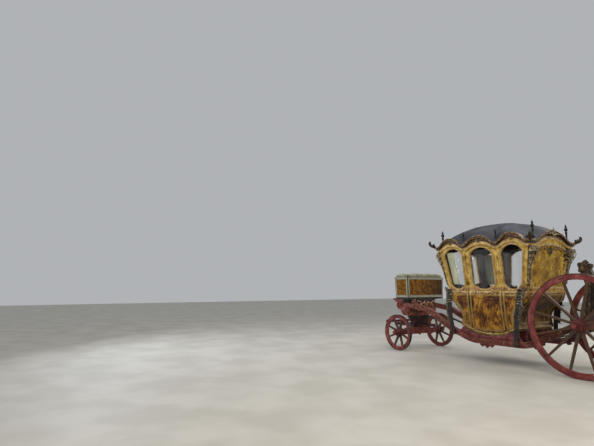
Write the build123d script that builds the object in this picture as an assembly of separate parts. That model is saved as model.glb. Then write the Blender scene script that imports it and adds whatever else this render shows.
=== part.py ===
from build123d import *
import math
import os

# A gala coach of the eighteenth century, with a closed glazed body hung between two side perches.
# Millimetres. +X is forward, +Y is the coach's left, +Z is up. The origin is on the floor at mid length.

# Running gear: wheels
rear_wheel_dia = 1820.0
front_wheel_dia = 880.0
track = 1560.0
wheelbase = 4375.0
tyre_width = 70.0
tyre_thick = 12.0
felloe_width = 62.0
rear_felloe_depth = 98.0
front_felloe_depth = 78.0
rear_spokes = 12
front_spokes = 8
spoke_root = 56.0
spoke_tip = 40.0
wheel_dish = 45.0
nave_length_rear = 380.0
nave_length_front = 320.0
nave_r_rear = 112.0
nave_r_front = 92.0
arm_r = 30.0
arm_clearance = 0.05
end_gap = 5.0
nut_r = 44.0
nut_length = 34.0

# Running gear: axle beds, transoms and turntable
rear_bed_half = 540.0
rear_bed_depth = 130.0
rear_bed_height = 150.0
front_bed_half = 560.0
front_bed_depth = 130.0
front_bed_height = 170.0
front_bed_drop = 64.0
jaw_reach = 720.0
ring_r = 300.0
ring_width = 50.0
ring_thick = 24.0
ring_gap = 0.5
ring_top = 838.0
transom_height = 225.0
transom_half = 560.0
transom_depth = 150.0
king_pin_r = 20.0
king_pin_clearance = 0.1

# Running gear: perches and leather braces
perch_end_y = 430.0
perch_mid_y = 650.0
perch_width = 90.0
perch_height = 118.0
perch_low = 450.0
perch_rear_z = 870.0
perch_front_z = 1122.0
perch_leaves = 6
perch_leaf_r = 34.0
scroll_r = 118.0
scroll_proud = 6.0
strap_y = 300.0
strap_width = 96.0
strap_thick = 18.0
strap_low = 491.0
check_strap_width = 92.0
check_strap_thick = 12.0
check_stand_off = 20.0
roller_r = 40.0
seat_gap = 0.3

# Body
body_ahead = 1870.0
wall = 45.0
top_z = 2380.0
waist_z = 1580.0
belly_z = 1350.0
notch_z = 950.0
heel_z = 760.0
keel_z = 545.0
half_len_top = 1080.0
half_len_waist = 940.0
half_len_belly = 915.0
half_len_notch = 632.0
half_len_heel = 690.0
half_wid_top = 782.0
half_wid_waist = 692.0
half_wid_belly = 676.0
half_wid_keel = 575.0
floor_rise = 82.0
door_half = 388.0
door_gap = 8.0
door_foot_gap = 10.0
door_top_z = 2316.0
door_arch = 138.0
door_rebate = 12.0
door_rebate_depth = 18.0
hinge_r = 11.0
hinge_pin_r = 5.0
hinge_knuckle = 42.0
hinge_stand_off = 12.0
hinge_foot_z = 1070.0
glass_thick = 6.0

# Mouldings
moulding_proud = 14.0
frame_width = 34.0
panel_margin = 30.0
belt_z = 1500.0
belt_height = 40.0

# Cornice and roof
valley_x = 400.0
peak_x = 740.0
cornice_valley = (2380.0, 2492.0)
cornice_peak = (2480.0, 2668.0)
cornice_end_peak = (2540.0, 2712.0)
cornice_in = 60.0
wave_share = 0.74
eave_reach = 110.0
eave_z = 2462.0
shoulder_in = 185.0
shoulder_z = 2755.0
crown_z = 2990.0
roof_skin = 34.0
finial_height = 200.0
finial_r = 36.0
horn_reach = 112.0
horn_thick = 84.0
horn_angle = 58.0

# Coachman's seat
seat_ahead = 4320.0
seat_depth = 460.0
seat_half_width = 675.0
seat_low = 1312.0
seat_high = 1850.0
seat_dome = 92.0

# Carved pendants under the perches: distance ahead of the body's middle, and drop
pendants = ((-60.0, 62.0), (50.0, 84.0), (160.0, 62.0))

# How far things move, in degrees
steer_limit = 28.0
door_open = 80.0

# Derived places
eave_half_len = half_len_top + eave_reach
eave_half_wid = half_wid_top + eave_reach
shoulder_half_len = eave_half_len - shoulder_in
shoulder_half_wid = eave_half_wid - shoulder_in
overall_length = rear_wheel_dia / 2 + wheelbase + jaw_reach
rear_x = rear_wheel_dia / 2 - overall_length / 2
front_x = rear_x + wheelbase
body_x = rear_x + body_ahead
seat_x = rear_x + seat_ahead
rear_axle_z = rear_wheel_dia / 2
front_axle_z = front_wheel_dia / 2
hub_y = track / 2 - wheel_dish

nodes = {}


def outline(start, *steps):
    """Plane outline: each step is an end point for a line, or (mid point, end point) for an arc."""
    here, edges = start, []
    for step in steps:
        if isinstance(step[0], tuple):
            mid, end = step
            edges.append(("arc", here, mid, end))
        else:
            end = step
            edges.append(("line", here, end))
        here = end
    if math.dist(here, start) > 1e-6:
        edges.append(("line", here, start))
    return edges


def placed(edges, place):
    made = []
    for kind, *points in edges:
        points = [Vector(*place(p)) for p in points]
        made.append(Edge.make_line(*points) if kind == "line" else Edge.make_three_point_arc(*points))
    return Face(Wire(made))


def prism_y(edges, y0, y1, x0=0.0):
    """An outline of (x, z) points, swept along Y."""
    face = placed(edges, lambda p: (x0 + p[0], y0, p[1]))
    return Solid.extrude(face, Vector(0, y1 - y0, 0))


def prism_x(edges, x0, x1):
    """An outline of (y, z) points, swept along X."""
    face = placed(edges, lambda p: (x0, p[0], p[1]))
    return Solid.extrude(face, Vector(x1 - x0, 0, 0))


def prism_z(edges, z0, z1, x0=0.0):
    """An outline of (x, y) points, swept along Z."""
    face = placed(edges, lambda p: (x0 + p[0], p[1], z0))
    return Solid.extrude(face, Vector(0, 0, z1 - z0))


def block(x0, x1, y0, y1, z0, z1):
    return Pos((x0 + x1) / 2, (y0 + y1) / 2, (z0 + z1) / 2) * Box(x1 - x0, y1 - y0, z1 - z0)


def rod_y(x, z, r, y0, y1):
    return Pos(x, (y0 + y1) / 2, z) * Rot(90, 0, 0) * Cylinder(r, abs(y1 - y0))


def mirrored(shape):
    return mirror(shape, about=Plane.XZ)


def turned_about_y(points, x, y, z):
    """A ring turned about an axis along Y through (x, y, z); points are (radius, distance along +Y)."""
    face = placed(outline(*points), lambda p: (x + p[0], y + p[1], z))
    return Solid.revolve(face, 360, Axis((x, y, z), (0, 1, 0)))


def turned_about_z(points, x, y, z):
    """A ring turned about a vertical axis through (x, y, z); points are (radius, height)."""
    face = placed(outline(*points), lambda p: (x + p[0], y, z + p[1]))
    return Solid.revolve(face, 360, Axis((x, y, z), (0, 0, 1)))


def add(name, shape):
    nodes[name] = shape


def solids_of(shape):
    return Compound(children=list(shape.solids()))


# Wheels: a turned nave, tapered spokes set on a cone, and a felloe ring, with an iron tyre shrunk on.
def wheel_wood(x, z, dia, felloe_depth, count, nave_length, nave_r, side):
    rim_outer = dia / 2 - tyre_thick
    rim_inner = rim_outer - felloe_depth
    hub = nave_length / 2
    bore = arm_r + arm_clearance
    y = side * hub_y
    barrel = turned_about_y(
        [
            (bore, -hub),
            (nave_r * 0.78, -hub),
            (nave_r * 0.82, -hub * 0.72),
            (nave_r * 0.95, -hub * 0.55),
            (nave_r, -hub * 0.3),
            (nave_r, hub * 0.3),
            (nave_r * 0.92, hub * 0.5),
            (nave_r * 0.7, hub * 0.66),
            (nave_r * 0.62, hub * 0.92),
            (nave_r * 0.55, hub),
            (bore, hub),
        ],
        x,
        0,
        z,
    )
    rim = turned_about_y(
        [
            (rim_inner, -felloe_width / 2 + 10),
            (rim_inner + 12, -felloe_width / 2),
            (rim_outer, -felloe_width / 2),
            (rim_outer, felloe_width / 2),
            (rim_inner + 12, felloe_width / 2),
            (rim_inner, felloe_width / 2 - 10),
        ],
        x,
        wheel_dish,
        z,
    )
    made = barrel + rim
    for k in range(count):
        root = Plane(origin=(0, 0, nave_r * 0.7), z_dir=(0, 0, 1)) * Rectangle(spoke_root * 0.8, spoke_root)
        tip = Plane(origin=(0, wheel_dish, rim_inner + 20), z_dir=(0, 0, 1)) * Rectangle(spoke_tip * 0.85, spoke_tip)
        spoke = loft([root, tip], ruled=True)
        made += Pos(x, 0, z) * Rot(0, 360 / count * (k + 0.5), 0) * spoke
    if side < 0:
        made = mirrored(made)
    return Pos(0, y, 0) * made


def wheel_tyre(x, z, dia, side):
    y = side * track / 2
    outer = rod_y(x, z, dia / 2, y - tyre_width / 2, y + tyre_width / 2)
    return outer - rod_y(x, z, dia / 2 - tyre_thick, y - tyre_width, y + tyre_width)


wheel_table = (
    # end, x, axle height, diameter, felloe depth, spokes, nave length, nave radius
    ("rear", rear_x, rear_axle_z, rear_wheel_dia, rear_felloe_depth, rear_spokes, nave_length_rear, nave_r_rear),
    ("front", front_x, front_axle_z, front_wheel_dia, front_felloe_depth, front_spokes, nave_length_front, nave_r_front),
)
for end, x, z, dia, depth, count, nave_length, nave_r in wheel_table:
    for hand, side in (("left", 1), ("right", -1)):
        add(f"wheel_{end}_{hand}", wheel_wood(x, z, dia, depth, count, nave_length, nave_r, side))
        add(f"tyre_{end}_{hand}", wheel_tyre(x, z, dia, side))


# Axles: a timber bed with round iron arms, a collar inside each nave and a nut outside it.
def axle(x, z, nave_length, bed):
    inner = hub_y - nave_length / 2 - end_gap
    outer = hub_y + nave_length / 2 + end_gap
    made = bed + rod_y(x, z, arm_r, -outer - nut_length + 4, outer + nut_length - 4)
    for side in (1, -1):
        made += rod_y(x, z, arm_r + 16, side * (inner - 26), side * inner)
        made += rod_y(x, z, nut_r, side * outer, side * (outer + nut_length))
    return made


rear_bed = block(
    rear_x - rear_bed_depth / 2, rear_x + rear_bed_depth / 2,
    -rear_bed_half, rear_bed_half,
    rear_axle_z - rear_bed_height / 2, rear_axle_z + rear_bed_height / 2,
)
add("rear_axle", axle(rear_x, rear_axle_z, nave_length_rear, rear_bed))

# The front bed is deep in the middle, with a bowed lower edge.
front_bed_low = front_axle_z - front_bed_drop
front_bed_top = front_bed_low + front_bed_height
front_bed = prism_x(
    outline(
        (-front_bed_half, front_bed_low + 14),
        (-front_bed_half + 30, front_bed_low),
        (front_bed_half - 30, front_bed_low),
        (front_bed_half, front_bed_low + 14),
        (front_bed_half, front_axle_z + 54),
        ((ring_r + 110, front_axle_z + 62), (ring_r, front_bed_top)),
        (-ring_r, front_bed_top),
        ((-ring_r - 110, front_axle_z + 62), (-front_bed_half, front_axle_z + 54)),
    ),
    front_x - front_bed_depth / 2,
    front_x + front_bed_depth / 2,
)
king_hole = Pos(front_x, 0, front_bed_top) * Cylinder(king_pin_r + king_pin_clearance, 900)
add("front_axle", axle(front_x, front_axle_z, nave_length_front, front_bed) - king_hole)

# Turntable: two iron rings, the lower one on a bolster that turns with the axle.
lower_ring_top = ring_top - ring_thick - ring_gap


def ring(z0, z1):
    disc = Pos(front_x, 0, (z0 + z1) / 2) * Cylinder(ring_r, z1 - z0)
    return disc - Pos(front_x, 0, (z0 + z1) / 2) * Cylinder(ring_r - ring_width, z1 - z0 + 2)


add("turntable_upper", ring(ring_top - ring_thick, ring_top))
add("turntable_lower", ring(lower_ring_top - ring_thick, lower_ring_top))
bolster_low = front_bed_top
bolster_top = lower_ring_top - ring_thick
bolster = prism_x(
    outline(
        (-ring_r + 20, bolster_low),
        (ring_r - 20, bolster_low),
        ((ring_r - 50, bolster_low + 90), (ring_r + 60, bolster_top)),
        (-ring_r - 60, bolster_top),
        ((-ring_r + 50, bolster_low + 90), (-ring_r + 20, bolster_low)),
    ),
    front_x - front_bed_depth / 2,
    front_x + front_bed_depth / 2,
)
add("bolster", bolster - king_hole)

# Futchells, the pair of bars that take the pole, with jaws, a sway bar and a splinter bar.
futchell_z0 = bolster_low + 6
futchell_z1 = futchell_z0 + 74
futchell_y = 150.0
futchell_w = 56.0
jaw_half_gap = 46.0
jaw_x = front_x + jaw_reach
splinter_x = front_x + jaw_reach - 190
pole_pin_r = 14.0
pole_pin_x = jaw_x - 60
futchells = None
for side in (1, -1):
    bar = prism_z(
        outline(
            (-ring_r + 10, side * (futchell_y + 60)),
            (-front_bed_depth / 2, side * futchell_y),
            (front_bed_depth / 2, side * futchell_y),
            (jaw_reach - 260, side * jaw_half_gap),
            (jaw_reach, side * jaw_half_gap),
            (jaw_reach, side * (jaw_half_gap + futchell_w)),
            (jaw_reach - 240, side * (jaw_half_gap + futchell_w)),
            (front_bed_depth / 2, side * (futchell_y + futchell_w)),
            (-front_bed_depth / 2, side * (futchell_y + futchell_w)),
            (-ring_r + 10, side * (futchell_y + futchell_w + 60)),
        ),
        futchell_z0,
        futchell_z1,
        front_x,
    )
    futchells = bar if futchells is None else futchells + bar
bolster_cut = block(
    front_x - front_bed_depth / 2 - 1, front_x + front_bed_depth / 2 + 1, -300, 300, futchell_z0, futchell_z1
)
nodes["bolster"] = nodes["bolster"] - (bolster_cut & futchells)
cross_bar = block(front_x + jaw_reach - 330, front_x + jaw_reach - 280, -70, 70, futchell_z0 + 12, futchell_z1 - 12)
sway_bar = block(front_x - ring_r - 10, front_x - ring_r + 50, -270, 270, futchell_z0 + 8, futchell_z1 - 4)
pin_hole = Pos(pole_pin_x, 0, (futchell_z0 + futchell_z1) / 2) * Rot(90, 0, 0) * Cylinder(pole_pin_r, 400)
add("futchells", futchells + cross_bar + sway_bar - pin_hole)
splinter_z = futchell_z1 + 52
splinter = rod_y(splinter_x, splinter_z, 30, -640, 640)
for side in (1, -1):
    splinter += rod_y(splinter_x, splinter_z, 40, side * 600, side * 650)
    splinter += block(splinter_x - 26, splinter_x + 26, side * 76 - 24, side * 76 + 24, futchell_z1, splinter_z)
add("splinter_bar", splinter)

# Fixed front transom over the turntable, and the king pin that hangs from it.
transom_low = ring_top
transom_top = transom_low + transom_height
front_transom = prism_x(
    outline(
        (-transom_half, transom_low + 96),
        ((-transom_half + 70, transom_low + 22), (-ring_r - 70, transom_low + 40)),
        ((-ring_r - 24, transom_low + 34), (-ring_r + 4, transom_low)),
        (ring_r - 4, transom_low),
        ((ring_r + 24, transom_low + 34), (ring_r + 70, transom_low + 40)),
        ((transom_half - 70, transom_low + 22), (transom_half, transom_low + 96)),
        ((transom_half + 26, transom_top - 60), (transom_half, transom_top)),
        (-transom_half, transom_top),
        ((-transom_half - 26, transom_top - 60), (-transom_half, transom_low + 96)),
    ),
    front_x - transom_depth / 2,
    front_x + transom_depth / 2,
)
pin_seat = Pos(front_x, 0, transom_top) * Cylinder(king_pin_r + king_pin_clearance, 900)
add("front_transom", front_transom - pin_seat)
pin_nut_top = front_bed_low - 3
pin_nut_low = pin_nut_top - 28


def upright(r, z0, z1):
    return Pos(front_x, 0, (z0 + z1) / 2) * Cylinder(r, z1 - z0)


king_pin = upright(king_pin_r, pin_nut_low, transom_top) + upright(king_pin_r + 18, transom_top, transom_top + 24)
king_pin += upright(king_pin_r + 12, pin_nut_low, pin_nut_top)
add("king_pin", king_pin)


# Perches: two timbers that spread around the body, swoop under it and rise over the front axle to a scroll.
def perch_plan(side):
    """Where the perch runs, seen from above."""
    half = perch_width / 2
    rear_end = rear_x + rear_bed_depth / 2
    turns = (rear_x + 330, body_x - 800, body_x + 900, body_x + 1560)
    near, far = perch_end_y, perch_mid_y
    nose = front_x + 600
    return outline(
        (rear_end, side * (near - half)),
        (turns[0], side * (near - half)),
        (turns[1], side * (far - half)),
        (turns[2], side * (far - half)),
        (turns[3], side * (near - half)),
        (nose, side * (near - half)),
        (nose, side * (near + half)),
        (turns[3], side * (near + half)),
        (turns[2], side * (far + half)),
        (turns[1], side * (far + half)),
        (turns[0], side * (near + half)),
        (rear_end, side * (near + half)),
    )


def perch(side):
    rear_end = rear_x + rear_bed_depth / 2
    points = [
        (rear_end, perch_rear_z),
        (rear_x + 230, perch_rear_z),
        (body_x - 860, perch_low),
        (body_x + 380, perch_low),
        (body_x + 1400, perch_low + 370),
        (body_x + 1800, perch_front_z - 90),
        (front_x - 60, perch_front_z),
        (front_x + 210, perch_front_z - 30),
    ]
    path = FilletPolyline(*[(x, 0, z) for x, z in points], radius=[180, 500, 700, 600, 500, 400])
    reach = perch_mid_y + perch_width
    section = Plane(origin=(rear_end, 0, perch_rear_z), z_dir=(1, 0, 0), x_dir=(0, 1, 0)) * Rectangle(
        reach * 2, perch_height
    )
    beam = sweep(section, path=path) & prism_z(perch_plan(side), 0, 2000)
    for k in range(perch_leaves):
        along = (k + 0.5) / perch_leaves
        leaf_x = rear_x + 330 + along * (body_x - 860 - rear_x - 400)
        leaf_z = perch_rear_z + (perch_low - perch_rear_z) * along - perch_height / 2 - 4
        y = perch_end_y + (perch_mid_y - perch_end_y) * (leaf_x - rear_x - 330) / (body_x - 800 - rear_x - 330)
        beam += rod_y(leaf_x, leaf_z + 10, perch_leaf_r, side * (y - perch_width / 2 + 6), side * (y + perch_width / 2 - 6))
    for dx, drop in pendants:
        x = body_x + dx
        top = perch_low - perch_height / 2 + 4
        flat = outline(
            (-46, top),
            ((-40, top - drop * 0.5), (-10, top - drop * 0.72)),
            ((0, top - drop), (10, top - drop * 0.72)),
            ((40, top - drop * 0.5), (46, top)),
        )
        y0, y1 = sorted((side * (perch_mid_y - 24), side * (perch_mid_y + 24)))
        beam += prism_y(flat, y0, y1, x)
    eye_x, eye_z = front_x + 210, perch_front_z - 8
    half = perch_width / 2 + scroll_proud
    eye = rod_y(eye_x, eye_z, scroll_r, side * (perch_end_y - half), side * (perch_end_y + half))
    eye -= rod_y(eye_x, eye_z, 30, side * (perch_end_y - 2 * half), side * (perch_end_y + 2 * half))
    return beam + eye


saddle = block(
    front_x - transom_depth / 2, front_x + transom_depth / 2,
    -transom_half - 40, transom_half + 40, transom_low - 1, transom_top,
)
perch_left = (perch(1) - saddle).solid()
add("perches", Compound(children=[perch_left, mirrored(perch_left)]))


# Body: the outer form is where a side outline and a cross outline meet; walls are cut from it.
def side_outline(inset, top):
    """Half lengths at each height, front and rear alike, as an outline of (x, z)."""
    slope = (half_len_top - half_len_waist) / (top_z - waist_z)
    upper = half_len_waist + slope * (top - waist_z) - inset
    right = [
        (upper, top),
        (half_len_waist - inset, waist_z),
        ((half_len_belly + 22 - inset, (waist_z + belly_z) / 2 - 30), (half_len_belly - 30 - inset, belly_z - 60)),
        ((half_len_notch + 100 - inset, notch_z + 215), (half_len_notch - inset, notch_z + 40)),
        ((half_len_notch + 6 - inset, notch_z - 70), (half_len_heel - inset, heel_z)),
    ]
    steps = []
    for step in right[1:]:
        steps.append(step)
    bottom = ((0, keel_z), (-half_len_heel + inset, heel_z))
    left = []
    flat = [right[0], right[1], right[2][0], right[2][1], right[3][0], right[3][1], right[4][0], right[4][1]]
    flip = [(-x, z) for x, z in flat]
    left = [(flip[6], flip[5]), (flip[4], flip[3]), (flip[2], flip[1]), flip[0]]
    return outline(right[0], *steps, bottom, *left)


def cross_outline(inset, top):
    slope = (half_wid_top - half_wid_waist) / (top_z - waist_z)
    upper = half_wid_waist + slope * (top - waist_z) - inset
    waist = half_wid_waist - inset
    belly = half_wid_belly - inset
    keel = half_wid_keel - inset
    mid_z = (belly_z + keel_z) / 2 + 120
    return outline(
        (upper, top),
        (waist, waist_z),
        ((belly, mid_z), (keel, keel_z - 20)),
        (-keel, keel_z - 20),
        ((-belly, mid_z), (-waist, waist_z)),
        (-upper, top),
    )


high = top_z + 300
outer_form = prism_y(side_outline(0, high), -1000, 1000, body_x) & prism_x(
    cross_outline(0, high), body_x - 1500, body_x + 1500
)
# The same form, swollen by the depth of the mouldings planted on it.
swollen = prism_y(side_outline(-moulding_proud, high), -1100, 1100, body_x) & prism_x(
    cross_outline(-moulding_proud, high), body_x - 1500, body_x + 1500
)
skin = swollen - outer_form
tunnel_x = prism_x(cross_outline(wall, high + 10), body_x - 1600, body_x + 1600)
tunnel_y = prism_y(side_outline(wall, high + 10), -1100, 1100, body_x)


def floor_region(lift):
    """Everything below the floor's upper face, which bows down like a boat's."""
    end_z = heel_z + floor_rise * 0.5 + 95 + lift
    return prism_y(
        outline(
            (-half_len_heel - 200, end_z),
            ((0, keel_z + floor_rise + lift), (half_len_heel + 200, end_z)),
            (half_len_heel + 200, keel_z - 200),
            (-half_len_heel - 200, keel_z - 200),
        ),
        -1100,
        1100,
        body_x,
    )


def keel_zone(low, up):
    """Between two curves that run along the foot of the sides."""
    end_z = heel_z + 6
    lower = ((0, keel_z + low - 4), (half_len_heel + 300, end_z + low))
    upper = ((0, keel_z + up - 4), (-half_len_heel - 300, end_z + up))
    flat = outline((-half_len_heel - 300, end_z + low), lower, (half_len_heel + 300, end_z + up), upper)
    return prism_y(flat, -1100, 1100, body_x)


floor_piece = outer_form & floor_region(0)
bead = skin & keel_zone(16, 50) & floor_region(-6) & block(body_x - 1000, body_x + 1000, -1100, 1100, 400, 2000)
add("body_floor", floor_piece + bead)
shell = outer_form - floor_region(0)


def wave(extrema):
    """Arcs through a row of peaks and valleys, level at each: broad over a peak, tight in a valley."""
    steps = []
    for (x0, z0), (x1, z1) in zip(extrema, extrema[1:]):
        if abs(z1 - z0) < 1e-6:
            steps.append((x1, z1))
            continue
        span, rise = x1 - x0, z1 - z0
        whole = (span**2 + rise**2) / (2 * abs(rise))
        share = wave_share if z0 > z1 else 1 - wave_share
        turn = math.asin(abs(span) / whole) / 2
        if abs(rise) > abs(span):
            turn = (math.pi - math.asin(abs(span) / whole)) / 2
        meet = (x0 + span * share, z0 + rise * share)
        lean, lift = math.copysign(math.sin(turn), span), math.copysign(1 - math.cos(turn), rise)
        first, second = whole * share, whole * (1 - share)
        steps.append(((x0 + lean * first, z0 + lift * first), meet))
        steps.append(((x1 - lean * second, z1 - lift * second), (x1, z1)))
    return steps


def between(pair, share):
    return pair[0] + (pair[1] - pair[0]) * share


def side_extrema(share, reach):
    low, high_z = between(cornice_valley, share), between(cornice_peak, share)
    row = [(-reach, low), (-half_len_top, low), (-peak_x, high_z), (-valley_x, low), (0, high_z)]
    return row + [(-x, z) for x, z in reversed(row[:-1])]


def end_extrema(share, reach):
    low, high_z = between(cornice_valley, share), between(cornice_end_peak, share)
    row = [(-reach, low), (-half_wid_top + 90, low), (0, high_z)]
    return row + [(-y, z) for y, z in reversed(row[:-1])]


def above_side(share, reach, top):
    row = side_extrema(share, reach)
    return prism_y(outline(row[0], *wave(row), (reach, top), (-reach, top)), -1300, 1300, body_x)


def above_end(share, reach, top):
    row = end_extrema(share, reach)
    return prism_x(outline(row[0], *wave(row), (reach, top), (-reach, top)), body_x - 1500, body_x + 1500)


over_sides = above_side(0, 1400, high + 50)
over_ends = above_end(0, 1100, high + 50)
side_walls = shell - tunnel_x - over_sides
end_walls = (shell & tunnel_x) - tunnel_y - over_ends

# The door takes the middle of each side, from the floor to just under the cornice.
door_low = keel_z - 50


def door_outline(grow):
    half = door_half + grow
    top = door_top_z + grow
    return outline(
        (-half, door_low),
        (half, door_low),
        (half, top),
        ((0, top + door_arch), (-half, top)),
    )


doorway = prism_y(door_outline(door_gap), 300, 1000, body_x)

# The hinge line leans with the side and stands clear of the swell below the waist.
hinge_x = body_x + door_half + door_gap / 2
hinge_lean = (half_wid_top - half_wid_belly) / (top_z - hinge_foot_z)


def hinge_y(z):
    return half_wid_belly + hinge_stand_off + hinge_lean * (z - hinge_foot_z)


def window(x_low0, x_low1, x_top0, x_top1, sill, spring, arch, bow, grow=0.0):
    """A glazed opening: a bowed sill, leaning sides and an arched head."""
    mid_low, mid_top = (x_low0 + x_low1) / 2, (x_top0 + x_top1) / 2
    return outline(
        (x_low0 - grow, sill - grow * 0.6),
        ((mid_low, sill - bow - grow), (x_low1 + grow, sill - grow * 0.6)),
        (x_top1 + grow, spring + grow * 0.4),
        ((mid_top, spring + arch + grow), (x_top0 - grow, spring + grow * 0.4)),
    )


sill_z = 1655.0
spring_z = 2290.0
glass_bow = 110.0
window_table = {
    # low edges, high edges, sill, springing, arch rise, bow drop
    "door": (-262, 262, -262, 262, sill_z, spring_z, 128, glass_bow),
    "front": (478, 832, 478, 945, sill_z, spring_z, 140, glass_bow),
    "rear": (-832, -478, -945, -478, sill_z, spring_z, 140, glass_bow),
}
rebate = 10.0


def window_cut(name, grow=0.0):
    return prism_y(window(*window_table[name], grow=grow), 300, 1000, body_x)


def pane(name, grow=-0.3):
    """A pane lying in the middle of the wall's thickness, filling its rebate."""
    inner = prism_x(cross_outline(wall / 2 + glass_thick / 2, high), body_x - 1500, body_x + 1500)
    outer = prism_x(cross_outline(wall / 2 - glass_thick / 2, high), body_x - 1500, body_x + 1500)
    return (outer - inner) & window_cut(name, rebate + grow)


def glazed(wall_piece, name):
    """Cuts the opening through, and a groove around it for the pane."""
    inner = prism_x(cross_outline(wall / 2 + glass_thick / 2, high), body_x - 1500, body_x + 1500)
    outer = prism_x(cross_outline(wall / 2 - glass_thick / 2, high), body_x - 1500, body_x + 1500)
    return wall_piece - window_cut(name) - ((outer - inner) & window_cut(name, rebate))


left_wall = side_walls & block(body_x - 1500, body_x + 1500, 0, 1200, 0, 3500)
quarter_wall = left_wall - doorway
front_quarter = glazed(quarter_wall & block(body_x, body_x + 1500, 0, 1200, 0, 3500), "front")
rear_quarter = glazed(quarter_wall & block(body_x - 1500, body_x, 0, 1200, 0, 3500), "rear")
door_form = left_wall & prism_y(door_outline(0), 300, 1000, body_x)
# The lock edge of the door is rebated: its inner half is shorter, so that it swings clear of its post.
lock_rebate = prism_x(
    cross_outline(door_rebate_depth, high), body_x - door_half - 1, body_x - door_half + door_rebate
)
door_left = glazed(door_form, "door") - lock_rebate - floor_region(door_foot_gap)
panes_front = pane("front")
panes_rear = pane("rear")
pane_door = pane("door")

for hand, flip in (("left", False), ("right", True)):
    def hand_of(shape):
        return mirrored(shape) if flip else shape

    add(f"door_{hand}", hand_of(door_left))
    add(f"door_glass_{hand}", hand_of(pane_door))

for end, quarter in (("front", front_quarter), ("rear", rear_quarter)):
    add(f"{end}_quarters", Compound(children=[quarter.solid(), mirrored(quarter.solid())]))
quarter_panes = [*panes_front.solids(), *panes_rear.solids()]
add("quarter_glass", Compound(children=quarter_panes + [mirrored(p) for p in quarter_panes]))

# End walls: a glazed front and a closed rear.
front_wall = end_walls & block(body_x, body_x + 1500, -1200, 1200, 0, 3500)
rear_wall = end_walls & block(body_x - 1500, body_x, -1200, 1200, 0, 3500)
front_window = (-470, 470, -520, 520, sill_z + 20, spring_z + 20, 120, 60)


def front_cut(grow=0.0):
    return prism_x(window(*front_window, grow=grow), body_x + 400, body_x + 1400)


front_inner = prism_y(side_outline(wall / 2 + glass_thick / 2, high), -1000, 1000, body_x)
front_outer = prism_y(side_outline(wall / 2 - glass_thick / 2, high), -1000, 1000, body_x)
front_groove = (front_outer - front_inner) & front_cut(rebate)
add("front_wall", front_wall - front_cut() - front_groove)
add("front_glass", (front_outer - front_inner) & front_cut(rebate - 0.3))
add("rear_wall", rear_wall)

# Cornice: three stepped courses that follow the waves, standing on the walls.
cornice_steps = (
    # from, to, how far it stands out of the wall
    (0.0, 0.4, 26.0),
    (0.4, 0.72, 50.0),
    (0.72, 1.0, 78.0),
)


def band(row_low, row_high):
    return outline(row_low[0], *wave(row_low), row_high[-1], *wave(list(reversed(row_high))))


cornice = None
for low, high_share, out in cornice_steps:
    x_out, y_out = half_len_top + out, half_wid_top + out
    side_band = prism_y(band(side_extrema(low, x_out), side_extrema(high_share, x_out)), -y_out, y_out, body_x)
    side_band -= block(
        body_x - x_out - 1, body_x + x_out + 1, -half_wid_top + cornice_in, half_wid_top - cornice_in, 2000, 3200
    )
    end_band = prism_x(
        band(end_extrema(low, half_wid_top - cornice_in), end_extrema(high_share, half_wid_top - cornice_in)),
        body_x - x_out,
        body_x + x_out,
    )
    end_band -= block(
        body_x - half_len_top + cornice_in, body_x + half_len_top - cornice_in, -y_out, y_out, 2000, 3200
    )
    cornice = side_band + end_band if cornice is None else cornice + side_band + end_band
add("cornice", cornice)


# Roof: a leather-covered shell on the cornice, steep at the eaves and gently domed above.
def roof_outline(half_eave, half_shoulder, inset):
    eave, shoulder = half_eave - inset, half_shoulder - inset
    foot = eave_z - 60
    bend = ((eave + shoulder) / 2 - 32, (eave_z + shoulder_z) / 2 - 30 - inset * 0.3)
    return outline(
        (-eave, foot),
        (-eave, eave_z),
        ((-bend[0], bend[1]), (-shoulder, shoulder_z - inset * 0.6)),
        ((0, crown_z - inset), (shoulder, shoulder_z - inset * 0.6)),
        (bend, (eave, eave_z)),
        (eave, foot),
    )


def roof_form(inset):
    side = prism_y(roof_outline(eave_half_len, shoulder_half_len, inset), -1200, 1200, body_x)
    cross = prism_x(roof_outline(eave_half_wid, shoulder_half_wid, inset), body_x - 1500, body_x + 1500)
    return side & cross


def under_wave_side():
    row = side_extrema(1, 1500)
    return prism_y(outline(row[0], *wave(row), (1500, 2000), (-1500, 2000)), -1300, 1300, body_x)


def under_wave_end():
    row = end_extrema(1, 1200)
    return prism_x(outline(row[0], *wave(row), (1200, 2000), (-1200, 2000)), body_x - 1600, body_x + 1600)


roof = roof_form(0) - roof_form(roof_skin) - under_wave_side() - under_wave_end()
finial_table = (
    # distance from the middle along X and Y, foot height, size
    (eave_half_len - 100, eave_half_wid - 262, eave_z + 248, 1.0),
    (valley_x - 10, eave_half_wid - 96, eave_z + 206, 0.7),
)
finial_places = []
for dx, dy, z, scale in finial_table:
    for sx in (1, -1):
        for sy in (1, -1):
            finial_places.append((body_x + sx * dx, sy * dy, z, scale))
for x, y, z, scale in finial_places:
    roof += Pos(x, y, z - 70) * Cylinder(24 * scale, 140) - roof_form(roof_skin / 2)


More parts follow.
